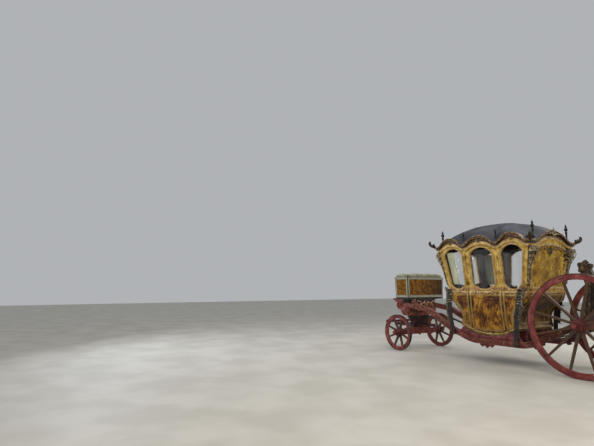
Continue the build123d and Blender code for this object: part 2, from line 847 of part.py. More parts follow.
def eave_horn(sx, sy):
    """An upturned corner of the eave, in an upright plane that points outward."""
    face = placed(
        outline(
            (-70, eave_z + 30),
            (horn_reach * 0.4, eave_z + 32),
            ((horn_reach * 0.94, eave_z + 66), (horn_reach, eave_z + 172)),
            ((horn_reach * 0.72, eave_z + 144), (horn_reach * 0.3, eave_z + 150)),
            (-70, eave_z + 120),
        ),
        lambda p: (p[0], -horn_thick / 2, p[1]),
    )
    horn = Solid.extrude(face, Vector(0, horn_thick, 0))
    horn = Pos(eave_half_len - 24, eave_half_wid - 24, 0) * Rot(0, 0, horn_angle) * horn
    horn = Pos(body_x, 0, 0) * horn
    if sx < 0:
        horn = mirror(horn, about=Plane(origin=(body_x, 0, 0), z_dir=(1, 0, 0)))
    if sy < 0:
        horn = mirrored(horn)
    return horn


inside_roof = roof_form(roof_skin / 2)
for sx in (1, -1):
    for sy in (1, -1):
        roof += eave_horn(sx, sy) - inside_roof
add("roof", roof)

finial_profile = [
    (0.0, 0.0),
    (26.0, 0.0),
    (26.0, 14.0),
    (12.0, 30.0),
    ((finial_r, 72.0), (14.0, 112.0)),
    (22.0, 122.0),
    ((20.0, 148.0), (9.0, 160.0)),
    (0.0, finial_height),
]


def sized(profile, scale):
    return [
        tuple(tuple(v * scale for v in q) for q in p) if isinstance(p[0], tuple) else tuple(v * scale for v in p)
        for p in profile
    ]


finials = [turned_about_z(sized(finial_profile, scale), x, y, z) for x, y, z, scale in finial_places]
add("finials", Compound(children=finials))

# Carved crests on the arches at the front and the rear.
crest_x = half_len_top + cornice_steps[-1][2]
end_top = cornice_end_peak[1]
crests = []
for s in (1, -1):
    shield = prism_x(
        outline(
            (-60, end_top - 128),
            ((0, end_top - 168), (60, end_top - 128)),
            ((122, end_top - 96), (176, end_top - 46)),
            ((150, end_top + 6), (92, end_top + 4)),
            ((76, end_top + 62), (0, end_top + 84)),
            ((-76, end_top + 62), (-92, end_top + 4)),
            ((-150, end_top + 6), (-176, end_top - 46)),
            ((-122, end_top - 96), (-60, end_top - 128)),
        ),
        body_x + s * (crest_x - 50),
        body_x + s * (crest_x + 30),
    )
    crests.append(max((shield - cornice - roof).solids(), key=lambda k: k.volume))
add("cornice_crests", Compound(children=crests))

# Corner carvings: a console under each eave corner that tapers into a beaded strip down the pillar.
corner_run = math.hypot(half_len_top - half_len_waist, half_wid_top - half_wid_waist)
corner_angle = math.degrees(math.atan2(half_wid_top - half_wid_waist, half_len_top - half_len_waist))
console_out = 150.0
console_thick = 84.0


def corner_carving(sx, sy):
    run = lambda z: corner_run * (z - waist_z) / (top_z - waist_z)
    face = placed(
        outline(
            (run(top_z) - 60, top_z - 2),
            (run(top_z) + 60, top_z - 2),
            ((run(top_z - 120) + console_out, top_z - 120), (run(top_z - 300) + 44, top_z - 300)),
            (run(waist_z + 90) + 24, waist_z + 90),
            ((run(waist_z + 40) + 52, waist_z + 40), (run(waist_z) + 6, waist_z - 20)),
            (run(waist_z) - 60, waist_z - 20),
        ),
        lambda p: (p[0], -console_thick / 2, p[1]),
    )
    plate = Solid.extrude(face, Vector(0, console_thick, 0))
    plate = Pos(half_len_waist, half_wid_waist, 0) * Rot(0, 0, corner_angle) * plate
    plate = Pos(body_x, 0, 0) * plate
    plate = plate - outer_form
    if sx < 0:
        plate = mirror(plate, about=Plane(origin=(body_x, 0, 0), z_dir=(1, 0, 0)))
    if sy < 0:
        plate = mirrored(plate)
    return plate


carvings = []
for sx in (1, -1):
    for sy in (1, -1):
        carvings += list(corner_carving(sx, sy).solids())
add("corner_carvings", Compound(children=carvings))


# Mouldings planted on the panels: frames around each pane and panel, and a belt under the windows.
side_region = block(body_x - 1500, body_x + 1500, 300, 1200, 0, 3500)


def side_frame(edges, width):
    """A border of this width inside an outline of (x, z) points, on the left side."""
    outer = placed(edges, lambda p: (body_x + p[0], 300, p[1]))
    inner = offset(outer, amount=-width)
    return extrude(outer - inner, 900, dir=(0, 1, 0))


def end_frame(edges, width, ahead):
    """The same for the front or rear wall, from an outline of (y, z) points."""
    x0 = body_x + ahead * 300
    outer = placed(edges, lambda p: (x0, p[0], p[1]))
    inner = offset(outer, amount=-width)
    return extrude(outer - inner, 1100, dir=(ahead, 0, 0))


def lower_panel(x0, x1):
    """The panel below the belt between two upright lines, down to just above the floor's edge."""
    top = belt_z - belt_height + frame_width
    flat = placed(outline((x0, top), (x1, top), (x1, 500), (x0, 500)), lambda p: (body_x + p[0], 300, p[1]))
    inside = placed(side_outline(panel_margin, high), lambda p: (body_x + p[0], 300, p[1]))
    foot_z = heel_z + floor_rise * 0.5 + 95 + door_foot_gap + 26
    foot = placed(
        outline(
            (-half_len_heel - 200, foot_z),
            ((0, keel_z + floor_rise + door_foot_gap + 26), (half_len_heel + 200, foot_z)),
            (half_len_heel + 200, 400),
            (-half_len_heel - 200, 400),
        ),
        lambda p: (body_x + p[0], 300, p[1]),
    )
    return (flat & inside) - foot


def on_side(solid):
    return solid & skin & side_region


def parts_of(shape, least=2000):
    return [k for k in shape.solids() if k.volume > least]


def lower_frame(x0, x1):
    face = lower_panel(x0, x1)
    border = extrude(face - offset(face, amount=-frame_width), 900, dir=(0, 1, 0))
    return border - block(body_x - 1500, body_x + 1500, 200, 1300, belt_z - belt_height, belt_z + 60)


def belt(x0, x1):
    return block(body_x + x0, body_x + x1, 300, 1200, belt_z - belt_height, belt_z)


stile = door_half + door_gap
door_trim = parts_of(on_side(side_frame(window(*window_table["door"], grow=frame_width), frame_width)))
door_trim += parts_of(on_side(lower_frame(-door_half + 16, door_half - 16)))
door_trim += parts_of(on_side(belt(-door_half + 4, door_half - 4)))
body_trim = []
for name, s in (("front", 1), ("rear", -1)):
    low, up = sorted((s * (stile + 16), s * (half_len_waist + 60)))
    body_trim += parts_of(on_side(side_frame(window(*window_table[name], grow=frame_width), frame_width)))
    body_trim += parts_of(on_side(lower_frame(low, up)))
    low, up = sorted((s * (stile + 4), s * (half_len_waist - 10)))
    body_trim += parts_of(on_side(belt(low, up)))
body_trim = body_trim + [mirrored(k) for k in body_trim]
end_low = belt_z - belt_height
for ahead in (1, -1):
    zone = block(body_x + ahead * 900 - 700, body_x + ahead * 900 + 700, -900, 900, 0, 3500)
    if ahead > 0:
        upper = end_frame(window(*front_window, grow=frame_width), frame_width, ahead)
    else:
        upper = end_frame(
            outline(
                (-half_wid_waist + 84, belt_z + 46),
                (half_wid_waist - 84, belt_z + 46),
                (half_wid_top - 110, 2330),
                ((0, 2470), (-half_wid_top + 110, 2330)),
            ),
            frame_width * 1.4,
            ahead,
        )
    lower = end_frame(
        outline(
            (-half_wid_waist + 84, end_low - 20),
            (half_wid_waist - 84, end_low - 20),
            (half_wid_keel - 60, 830),
            (-half_wid_keel + 60, 830),
        ),
        frame_width,
        ahead,
    )
    rail = block(
        body_x + ahead * 900 - 700, body_x + ahead * 900 + 700,
        -half_wid_waist + 40, half_wid_waist - 40, belt_z - belt_height, belt_z,
    )
    for piece in (upper, lower, rail):
        body_trim += parts_of(piece & skin & zone)
add("body_mouldings", Compound(children=body_trim))
add("door_mouldings_left", Compound(children=door_trim))
add("door_mouldings_right", Compound(children=[mirrored(k) for k in door_trim]))

# Door furniture: three hinges on the front post, and a lever handle at the rear.
hinge_heights = (1120.0, 1660.0, 2230.0)
leaf_length = 17.0


def hinge_frame(z):
    return Plane(origin=(hinge_x, hinge_y(z), z), z_dir=(0, hinge_lean, 1), x_dir=(1, 0, 0))


def knuckle(z, low, height, bore, pin):
    """A barrel on the hinge line, with a bore to receive a pin or a pin of its own."""
    barrel = Pos(0, 0, low + height / 2) * Cylinder(hinge_r, height)
    if bore:
        barrel -= Pos(0, 0, low + height / 2) * Cylinder(hinge_pin_r + arm_clearance, height + 2)
    if pin:
        barrel += Pos(0, 0, low + height / 2 + pin / 2) * Cylinder(hinge_pin_r, height + pin)
    return barrel


def leaf(low, height, way):
    """A short web from the barrel down to the wood beside the gap."""
    reach = hinge_r + 60
    near = door_gap / 2 + 1.0
    web = Box(leaf_length - near, reach, height)
    return Pos(way * (near + leaf_length) / 2, -reach / 2, low + height / 2) * web


post_knuckles, door_knuckles = [], []
for z in hinge_heights:
    frame = hinge_frame(z)
    low_barrel = knuckle(z, -hinge_knuckle, hinge_knuckle - 0.5, False, hinge_knuckle - 6)
    low_leaf = leaf(-hinge_knuckle, hinge_knuckle - 0.5, 1)
    high_leaf = leaf(0, hinge_knuckle, -1)
    high_barrel = knuckle(z, 0, hinge_knuckle, True, 0)
    bore = Pos(0, 0, hinge_knuckle / 2) * Cylinder(hinge_pin_r + arm_clearance, hinge_knuckle + 2)
    post_knuckles += list((frame.location * (low_barrel + low_leaf) - outer_form).solids())
    door_knuckles += list((frame.location * ((high_barrel + high_leaf) - bore) - outer_form).solids())
post_knuckles = sorted(post_knuckles, key=lambda k: -k.volume)[: len(hinge_heights)]
door_knuckles = sorted(door_knuckles, key=lambda k: -k.volume)[: len(hinge_heights)]
add("door_hinges", Compound(children=post_knuckles + [mirrored(k) for k in post_knuckles]))

handle_z = belt_z - belt_height / 2
handle_x = body_x - door_half + 70
boss = rod_y(handle_x, handle_z, 16, half_wid_waist - 30, half_wid_waist + 46)
lever = block(handle_x - 14, handle_x + 120, half_wid_waist + 38, half_wid_waist + 52, handle_z - 9, handle_z + 9)
knob = Pos(handle_x + 120, half_wid_waist + 45, handle_z) * Sphere(15)
handle = max((boss + lever + knob - swollen).solids(), key=lambda k: k.volume)
add("door_fittings_left", Compound(children=[*door_knuckles, handle]))
add("door_fittings_right", Compound(children=[mirrored(k) for k in [*door_knuckles, handle]]))

# Seats inside: a board, a cushion and a back pad at each end, shaped to the end walls.
bench_z = 1150.0
bench_thick = 34.0
bench_front = 395.0
bench_half = 590.0
cushion_thick = 110.0
back_thick = 70.0
benches, cushions, backs = [], [], []
room = prism_y(side_outline(wall, high), -1000, 1000, body_x) & tunnel_x
soft_room = prism_y(side_outline(wall + seat_gap, high), -1000, 1000, body_x)
back_room = soft_room - prism_y(side_outline(wall + back_thick, high), -1000, 1000, body_x)
cushion_room = prism_y(side_outline(wall + seat_gap, high), -1000, 1000, body_x)
cushion_top = bench_z + bench_thick + cushion_thick
for s in (-1, 1):
    x_front, x_back = body_x + s * bench_front, body_x + s * half_len_waist
    x0, x1 = min(x_front, x_back), max(x_front, x_back)
    board = block(x0, x1, -bench_half - 200, bench_half + 200, bench_z, bench_z + bench_thick)
    r0, r1 = min(x_front, x_front + s * 24), max(x_front, x_front + s * 24)
    riser = block(r0, r1, -bench_half - 200, bench_half + 200, keel_z, bench_z)
    bench = ((board + riser) - floor_region(0)) & room
    benches += list(bench.solids())
    cushion = block(x0, x1, -bench_half, bench_half, bench_z + bench_thick + seat_gap, cushion_top)
    cushions += list((cushion & cushion_room).solids())
    pad = block(x0, x1, -bench_half, bench_half, cushion_top + seat_gap, waist_z)
    backs += list((pad & back_room).solids())
add("benches", Compound(children=benches))
add("seat_cushions", Compound(children=cushions))
add("seat_backs", Compound(children=backs))

# Feet under the body's corners, which stand on the leather braces.
feet = []
foot_dx = 560.0
for sx in (1, -1):
    for sy in (1, -1):
        foot = block(
            body_x + sx * foot_dx - 60, body_x + sx * foot_dx + 60,
            sy * strap_y - 40, sy * strap_y + 40,
            strap_low + strap_thick / 2, heel_z + 60,
        )
        feet += list((foot - (outer_form)).solids())
low_feet = [s for s in feet if s.center().Z < heel_z]
add("body_feet", Compound(children=low_feet))


# Leather braces: a long strap on each side, from a roller at the rear axle to a shackle on the perch.
def flat_strap(points, radii, width, thick, y):
    first, second = points[0], points[1]
    path = FilletPolyline(*[(x, y, z) for x, z in points], radius=radii)
    heading = Vector(second[0] - first[0], 0, second[1] - first[1]).normalized()
    section = Plane(origin=(first[0], y, first[1]), z_dir=heading, x_dir=(0, 1, 0)) * Rectangle(width, thick)
    return sweep(section, path=path)


roller_x = rear_x + 230
roller_z = rear_axle_z - 110
shackle_x = body_x + 1750
shackle_z = 842.0
braces = []
for side in (1, -1):
    y = side * strap_y
    brace = flat_strap(
        [
            (roller_x + 10, roller_z - roller_r - strap_thick / 2 - 0.2),
            (body_x - 900, strap_low + 10),
            (body_x - 640, strap_low),
            (body_x + 700, strap_low),
            (shackle_x - 16, shackle_z - 26),
        ],
        [260, 200, 500],
        strap_width,
        strap_thick,
        y,
    )
    braces += list(brace.solids())
add("braces", Compound(children=braces))

rollers = []
for side in (1, -1):
    y0, y1 = side * (strap_y - 70), side * (strap_y + 60)
    barrel = rod_y(roller_x, roller_z, roller_r, side * (strap_y - 58), side * (strap_y + 52))
    cheek = prism_y(
        outline(
            (rear_x + rear_bed_depth / 2 - rear_x, rear_axle_z - 60),
            (roller_x - rear_x, roller_z - 34),
            ((roller_x - rear_x + 46, roller_z), (roller_x - rear_x, roller_z + 40)),
            (rear_bed_depth / 2, rear_axle_z + 30),
        ),
        min(side * (strap_y - 84), side * (strap_y - 58)),
        max(side * (strap_y - 84), side * (strap_y - 58)),
        rear_x,
    )
    rollers.append(barrel + cheek)
add("brace_rollers", Compound(children=[s for r in rollers for s in r.solids()]))

# Check straps: upright straps from the body's waist to the perch, one at each corner.
check_top_z = belt_z + 34
check_foot_z = perch_low - perch_height / 2 + 8
perch_face_y = perch_mid_y + perch_width / 2
check_y = perch_face_y + check_stand_off + check_strap_thick / 2
checks = []
check_runs = (
    # end, distance ahead of or behind the body's middle: top, knee, foot
    (1, (half_len_waist - 50, half_len_belly - 15, half_len_notch + 198)),
    (-1, (half_len_waist - 140, half_len_notch + 58, half_len_notch + 8)),
)
for sx, run in check_runs:
    for sy in (1, -1):
        foot_z = check_foot_z + (132 if sx > 0 else 0)
        strap = flat_strap(
            [
                (body_x + sx * run[0], check_top_z),
                (body_x + sx * run[1], 1000),
                (body_x + sx * run[2], foot_z),
            ],
            [900],
            check_strap_thick,
            check_strap_width,
            sy * check_y,
        )
        boss = block(
            body_x + sx * run[0] - 30, body_x + sx * run[0] + 30,
            min(sy * 600, sy * (check_y - check_strap_thick / 2)),
            max(sy * 600, sy * (check_y - check_strap_thick / 2)),
            belt_z - belt_height + 4, belt_z - 4,
        )
        boss = max((boss - swollen).solids(), key=lambda k: k.volume)
        foot_boss = block(
            body_x + sx * run[2] - 34, body_x + sx * run[2] + 34,
            min(sy * perch_face_y, sy * check_y), max(sy * perch_face_y, sy * check_y),
            foot_z + 10, foot_z + 70,
        )
        checks += list((strap + boss + foot_boss).solids())
add("check_straps", Compound(children=checks))

# Rear transom, standards and crest: the carved group behind the body.
rear_transom_top = rear_axle_z + rear_bed_height / 2 + 110
rear_transom = prism_x(
    outline(
        (-rear_bed_half + 10, rear_axle_z + rear_bed_height / 2),
        (rear_bed_half - 10, rear_axle_z + rear_bed_height / 2),
        (rear_bed_half - 10, rear_transom_top - 30),
        ((0, rear_transom_top + 50), (-rear_bed_half + 10, rear_transom_top - 30)),
    ),
    rear_x - 60,
    rear_x + 60,
)
add("rear_transom", rear_transom)
standard_y = 380.0
standard_width = 92.0
tall = rear_transom_top
rear_carving = prism_x(
    outline(
        (-310, tall - 20),
        (310, tall - 20),
        ((372, tall + 120), (330, tall + 270)),
        ((262, tall + 300), (236, tall + 380)),
        ((190, tall + 520), (96, tall + 540)),
        ((62, tall + 640), (0, tall + 668)),
        ((-62, tall + 640), (-96, tall + 540)),
        ((-190, tall + 520), (-236, tall + 380)),
        ((-262, tall + 300), (-330, tall + 270)),
        ((-372, tall + 120), (-310, tall - 20)),
    ),
    rear_x - 40,
    rear_x + 40,
)
for side in (1, -1):
    rear_carving += prism_y(
        outline(
            (-60, tall - 40),
            (60, tall - 40),
            ((36, tall + 140), (14, tall + 330)),
            ((12, tall + 560), (54, tall + 716)),
            ((88, tall + 770), (94, tall + 836)),
            ((76, tall + 912), (10, tall + 934)),
            ((-50, tall + 922), (-72, tall + 868)),
            ((-100, tall + 800), (-142, tall + 700)),
            ((-178, tall + 540), (-160, tall + 330)),
            ((-134, tall + 140), (-60, tall - 40)),
        ),
        side * standard_y - standard_width / 2,
        side * standard_y + standard_width / 2,
        rear_x,
    )
add("rear_carving", rear_carving - rear_transom)

# Coachman's seat: a boxed seat on a frame, with standards below and a footboard ahead.
seat_frame = block(
    seat_x - seat_depth / 2 + 20, seat_x + seat_depth / 2 - 20,
    -seat_half_width + 20, seat_half_width - 20, seat_low - 40, seat_low,
)
seat_side = prism_y(
    outline(
        (-seat_depth / 2 + 12, seat_low + seat_gap),
        (seat_depth / 2 - 12, seat_low + seat_gap),
        (seat_depth / 2, seat_high),
        ((0, seat_high + seat_dome), (-seat_depth / 2, seat_high)),
    ),
    -700,
    700,
    seat_x,
)
seat_cross = prism_x(
    outline(
        (-seat_half_width + 18, seat_low),
        (seat_half_width - 18, seat_low),
        (seat_half_width, seat_high),
        ((0, seat_high + seat_dome * 1.15), (-seat_half_width, seat_high)),
    ),
    seat_x - 400,
    seat_x + 400,
)
add("coachman_seat", seat_side & seat_cross)
posts = []
for side in (1, -1):
    under = seat_low - 40
    post = prism_y(
        outline(
            (seat_x - front_x - 195, under),
            (-160, under - 16),
            (-116, under - 52),
            (-92, perch_front_z),
            (92, perch_front_z),
            (74, under - 52),
            (96, under - 16),
            (seat_x - front_x + 195, under),
        ),
        side * perch_end_y - 36,
        side * perch_end_y + 36,
        front_x,
    )
    post -= perch_left if side > 0 else mirrored(perch_left)
    posts.append(max(post.solids(), key=lambda k: k.center().Z))
leaf_x = seat_x - seat_depth / 2 + 20
seat_leaf = prism_x(
    outline(
        (-330, seat_low - 40),
        ((-300, seat_low - 118), (-196, seat_low - 128)),
        ((-150, seat_low - 172), (-84, seat_low - 168)),
        ((0, seat_low - 236), (84, seat_low - 168)),
        ((150, seat_low - 172), (196, seat_low - 128)),
        ((300, seat_low - 118), (330, seat_low - 40)),
    ),
    leaf_x,
    leaf_x + 46,
)
add("seat_carving", seat_leaf)
for post in posts:
    seat_frame += post
add("seat_frame", seat_frame)
foot_half = perch_end_y - perch_width / 2 - scroll_proud
foot_board = prism_y(
    outline((210, seat_low - 210), (222, seat_low - 240), (560, seat_low - 60), (548, seat_low - 30)),
    -foot_half,
    foot_half,
    front_x,
)
add("footboard", foot_board)

# What turns with the front axle, apart from the wheels.
fore_nodes = ("front_axle", "bolster", "turntable_lower", "futchells", "splinter_bar")

os.makedirs("parts", exist_ok=True)
for old in os.listdir("parts"):
    if old.endswith(".step") and old[:-5] not in nodes:
        os.remove(os.path.join("parts", old))
for name, shape in nodes.items():
    export_step(shape if isinstance(shape, Compound) else Compound(children=list(shape.solids())), f"parts/{name}.step")
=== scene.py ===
# %% [markdown]
# # A gala coach
# A closed and glazed body hangs on leather between two side perches, with a high pair of wheels behind and a
# low pair that steers in front. The shaped timbers, wheels, panels and glass come from the CAD model as a
# fixed frame. This script gives every surface its finish and adds what a carver, a gilder, an upholsterer
# and a harness maker would add. It begins by loading the frame.

# %% Load the frame
import math

import bmesh
import bpy
import numpy as np
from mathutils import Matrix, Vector


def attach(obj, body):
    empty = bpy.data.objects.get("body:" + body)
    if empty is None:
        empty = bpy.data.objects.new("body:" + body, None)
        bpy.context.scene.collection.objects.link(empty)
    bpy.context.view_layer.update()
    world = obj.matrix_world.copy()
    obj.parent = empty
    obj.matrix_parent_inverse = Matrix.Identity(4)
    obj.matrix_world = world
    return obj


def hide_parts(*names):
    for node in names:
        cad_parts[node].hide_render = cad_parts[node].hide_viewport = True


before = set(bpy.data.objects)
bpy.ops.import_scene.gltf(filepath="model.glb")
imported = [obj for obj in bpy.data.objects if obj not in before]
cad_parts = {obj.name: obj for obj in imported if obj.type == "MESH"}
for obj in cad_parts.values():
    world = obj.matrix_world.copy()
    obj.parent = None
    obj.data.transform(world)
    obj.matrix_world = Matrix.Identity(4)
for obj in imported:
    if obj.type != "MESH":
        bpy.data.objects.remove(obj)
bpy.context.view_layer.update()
scene = bpy.context.scene

# %% [markdown]
# The coach's own sizes, in metres. They repeat the ones that the CAD part is driven by, so that carving
# follows the panels that carry it. The origin is on the floor at mid length, +X ahead, +Y the coach's left.

# %% Sizes of the coach
wheel_r = {"rear": 0.91, "front": 0.44}
axle_x = {"rear": -2.0925, "front": 2.2825}
body_x = axle_x["rear"] + 1.87
seat_x = axle_x["rear"] + 4.32
hands = {"left": 1.0, "right": -1.0}
top_z, waist_z, belt_z, keel_z = 2.38, 1.58, 1.50, 0.545
half_len_top, half_wid_top = 1.08, 0.782
half_len_waist, half_wid_waist = 0.94, 0.692
end_lean = (half_len_top - half_len_waist) / (top_z - waist_z)
side_lean = (half_wid_top - half_wid_waist) / (top_z - waist_z)
print("wheelbase", round(axle_x["front"] - axle_x["rear"], 3))

# %% [markdown]
# The walls are not flat. Each side leans out above the waist and tucks under below it, and each end runs in
# an S below the window line. Both outlines are straight lines and arcs of circles, so one function that
# reads an arc at any height is enough to lay carving on any wall.

# %% The outline of the walls
def circle_through(start, mid, end):
    """Centre and radius of the circle through three points, by the two chords' perpendicular bisectors."""
    (x0, y0), (x1, y1), (x2, y2) = start, mid, end
    lhs = 2 * np.array([[x1 - x0, y1 - y0], [x2 - x0, y2 - y0]])
    rhs = np.array([x1**2 - x0**2 + y1**2 - y0**2, x2**2 - x0**2 + y2**2 - y0**2])
    cx, cy = np.linalg.solve(lhs, rhs)
    return cx, cy, math.hypot(x0 - cx, y0 - cy)


def arc_at(z, start, mid, end):
    """Distance out at height z on the circle through three (out, height) points: the centre plus or minus
    the root of r^2 - dz^2."""
    cx, cz, r = circle_through(start, mid, end)
    return cx + np.sign(mid[0] - cx) * np.sqrt(np.maximum(r**2 - (z - cz) ** 2, 1e-9))


def half_width(z):
    """Half the body's width at height z: a straight lean above the waist, one arc below it."""
    z = np.asarray(z, float)
    low = arc_at(z, (half_wid_waist, waist_z), (0.676, 1.0675), (0.575, 0.525))
    return np.where(z > waist_z, half_wid_waist + side_lean * (z - waist_z), low)


def half_length(z):
    """Half the body's length at height z: a straight lean, then three arcs that make the S below the belt."""
    z = np.asarray(z, float)
    breast, hollow = (0.885, 1.29), (0.632, 0.99)
    belly = arc_at(z, (half_len_waist, waist_z), (0.937, 1.435), breast)
    notch = arc_at(z, breast, (0.732, 1.165), hollow)
    heel = arc_at(z, hollow, (0.638, 0.88), (0.69, 0.76))
    low = np.where(z > breast[1], belly, np.where(z > hollow[1], notch, heel))
    return np.where(z > waist_z, half_len_waist + end_lean * (z - waist_z), low)


def on_side(points, hand):
    """Flat (ahead, height, proud) points laid on the side wall of that hand."""
    a, b, h = np.asarray(points).T
    return np.c_[body_x + a, hand * (half_width(b) + h), b]


def on_end(points, ahead):
    """Flat (across, height, proud) points laid on the front (1) or rear (-1) wall."""
    a, b, h = np.asarray(points).T
    return np.c_[body_x + ahead * (half_length(b) + h), a, b]


print("half width at the belt", round(float(half_width(belt_z)), 3))

# %% [markdown]
# A new piece is a pair of arrays, points and four-sided faces. Small ornaments are built as closed skins and
# joined into one mesh per place, because a coach has hundreds of leaves and each is only a few dozen faces.
# Doubled points at the poles are merged and the faces are then turned outwards. Every ornament also keeps
# how high it stands as a number from 0 to 1, so that its finish can be dark in the hollows and bright on top.

# %% Mesh helpers
def ring_faces(rings, around):
    """Four-sided faces between neighbouring rings of points, each ring closed on itself."""
    i, j = np.meshgrid(np.arange(rings - 1), np.arange(around), indexing="ij")
    k = (j + 1) % around
    quads = [i * around + j, i * around + k, (i + 1) * around + k, (i + 1) * around + j]
    return np.stack(quads, axis=-1).reshape(-1, 4)


def joined(parts):
    """Several (points, faces, relief) ornaments as one."""
    points, faces, relief, count = [], [], [], 0
    for p, f, r in parts:
        points.append(p)
        faces.append(f + count)
        relief.append(r)
        count += len(p)
    return np.concatenate(points), np.concatenate(faces), np.concatenate(relief)


def piece(name, parts, material, body):
    """Makes one object of ornaments: doubled points merged, faces turned out, riding on a body."""
    points, faces, relief = joined(parts)
    mesh = bpy.data.meshes.new(name)
    mesh.from_pydata(points.tolist(), [], faces.tolist())
    layer = mesh.attributes.new("relief", "FLOAT", "POINT")
    layer.data.foreach_set("value", relief.astype(np.float32))
    made = bmesh.new()
    made.from_mesh(mesh)
    bmesh.ops.remove_doubles(made, verts=made.verts, dist=1e-6)
    bmesh.ops.recalc_face_normals(made, faces=made.faces)
    made.to_mesh(mesh)
    made.free()
    mesh.polygons.foreach_set("use_smooth", np.ones(len(mesh.polygons), bool))
    mesh.materials.append(material)
    obj = bpy.data.objects.new(name, mesh)
    scene.collection.objects.link(obj)
    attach(obj, body)
    return obj
print("faces between two rings of eight points", len(ring_faces(2, 8)))

# %% [markdown]
# Carving in the flat: a scroll, a leaf and a bead are all a rounded ridge that runs along a path on the wall.
# The path comes from its curvature. Where the curvature is even the path is part of a circle, and where it
# grows towards an end the path winds up into a volute, which is how a carver draws a scroll.

# %% Scrolls, leaves and beads in the flat
def winding(at, heading, length, curl, bend=0.0, kind="c", steps=60):
    """A path on the wall whose direction is the running sum of its curvature, bend + curl * t^3. In a C the
    distance t is measured from the middle both ways, in an S it changes sign there, and in a J it is measured
    from the start. A C or an S is placed by its middle, a J by its start."""
    s = np.linspace(0, 1, steps)
    t = s if kind == "j" else 2 * s - 1
    turn = np.cumsum(bend + curl * (t**3 if kind == "s" else np.abs(t) ** 3)) / steps
    pin = 0 if kind == "j" else steps // 2
    turn += math.radians(heading) - turn[pin]
    path = np.c_[np.cumsum(np.cos(turn)), np.cumsum(np.sin(turn))] * length / steps
    return np.asarray(at) + path - path[pin]


def ridge(path, half, rise, around=8, lift=0.0, fluted=0.0, loop=False):
    """A closed ridge along a flat path: across it the height is a sine hump, with flutes, on a thin base."""
    if loop:
        path = np.concatenate([path, path[:1]])
    n = len(path)
    half = np.broadcast_to(half, (n,))[:, None]
    rise = np.broadcast_to(rise, (n,))[:, None]
    way = np.gradient(path, axis=0)
    if loop:
        way[0] = way[-1] = path[1] - path[-2]
    way /= np.linalg.norm(way, axis=1, keepdims=True) + 1e-12
    turn = np.linspace(0, 2 * np.pi, around, endpoint=False)
    c, s = np.cos(turn), np.sin(turn)
    a = path[:, :1] - way[:, 1:] * half * c
    b = path[:, 1:] + way[:, :1] * half * c
    hump = np.where(s > 0, s * (1 - fluted * np.abs(np.cos(3 * turn))), 0.1 * s)
    h = lift + rise * hump
    top = float(rise.max()) + 1e-9
    points = np.stack([a, b, h], axis=-1).reshape(-1, 3)
    return points, ring_faces(n, around), np.clip((h - lift) / top, 0, 1).reshape(-1)


def scroll(at, heading, length, width, height, curl=36.0, bend=0.0, kind="c", lift=0.0, steps=60):
    """A scroll whose ridge swells in the middle and ends in round eyes."""
    path = winding(at, heading, length, curl, bend, kind, steps)
    s = np.linspace(0, 1, steps)
    swell = np.sin(np.pi * s) if kind != "j" else np.cos(np.pi / 2 * s) ** 0.7
    ends = np.minimum(1, np.minimum(s, 1 - s) * 14)
    parts = [ridge(path, width * (0.3 + 0.7 * swell) * ends, height * (0.6 + 0.4 * swell) * ends, lift=lift)]
    for end in (-1,) if kind == "j" else (0, -1):
        parts.append(boss(path[end], width * 0.75, height * 1.15, lift=lift))
    return parts


def leaf(start, heading, length, width, height, bend=0.0, lobes=4, steps=22, lift=0.0, around=10):
    """An acanthus leaf: its edge swells and pinches between lobes, and it lifts towards the tip."""
    path = winding(start, heading, length, 0.0, bend, "j", steps)
    s = np.linspace(0, 1, steps)
    edge = 0.68 + 0.32 * np.abs(np.sin(lobes * np.pi * s))
    half = width * np.sin(np.pi * np.clip(s, 0, 1) ** 0.75) * edge
    rise = height * (0.45 + 0.75 * s**2) * np.minimum(1, 6 * (1 - s)) * np.minimum(1, 8 * s + 0.2)
    rise[-1] = half[-1] = half[0] = rise[0] = 0
    return [ridge(path, half, rise, around=around, lift=lift, fluted=0.45)]


def boss(at, radius, height, rings=5, around=10, lift=0.0):
    """A round bead: rings shrink as a cosine while the height grows as a sine."""
    e = np.linspace(0, np.pi / 2, rings)[:, None]
    turn = np.linspace(0, 2 * np.pi, around, endpoint=False)[None, :]
    a = at[0] + radius * np.cos(e) * np.cos(turn)
    b = at[1] + radius * np.cos(e) * np.sin(turn)
    h = lift + height * np.sin(e) + 0 * turn
    points = np.stack([a, b, h], axis=-1).reshape(-1, 3)
    foot = np.array([[at[0], at[1], lift]])
    points = np.concatenate([np.repeat(foot, around, axis=0), points])
    return points, ring_faces(rings + 1, around), np.clip((points[:, 2] - lift) / (height + 1e-9), 0, 1)


def flower(at, radius, height, petals=6, lift=0.0):
    """A rosette: petals round a bead."""
    parts = [boss(at, radius * 0.34, height * 1.25, lift=lift)]
    for k in range(petals):
        way = 360 / petals * k
        parts += leaf(at, way, radius, radius * 0.36, height, 0.0, 1, 9, lift, 8)
    return parts


def mirrored(parts, about=0.0):
    """The same ornaments with their mirror image across a vertical line in the flat."""
    flipped = [(np.c_[2 * about - p[:, 0], p[:, 1:]], f, r) for p, f, r in parts]
    return parts + flipped


def laid(parts, wrap, *where):
    """Flat ornaments carried onto a wall, each point by that wall's own rule."""
    return [(wrap(p, *where), f, r) for p, f, r in parts]


def upright(points, axis, at, sign):
    """Flat (along, height, proud) points on an upright plane at a fixed place, facing along x or y."""
    a, b, h = np.asarray(points).T
    return np.c_[at + sign * h, a, b] if axis == "x" else np.c_[a, at + sign * h, b]


def both_sides(name, parts, material, on_door=False):
    """The same ornaments as one piece on each side wall, riding on that side's door or on the carriage."""
    for hand, sign in hands.items():
        body = hand + "_door" if on_door else "carriage"
        piece(f"{name}_{hand}", laid(parts, on_side, sign), material, body)


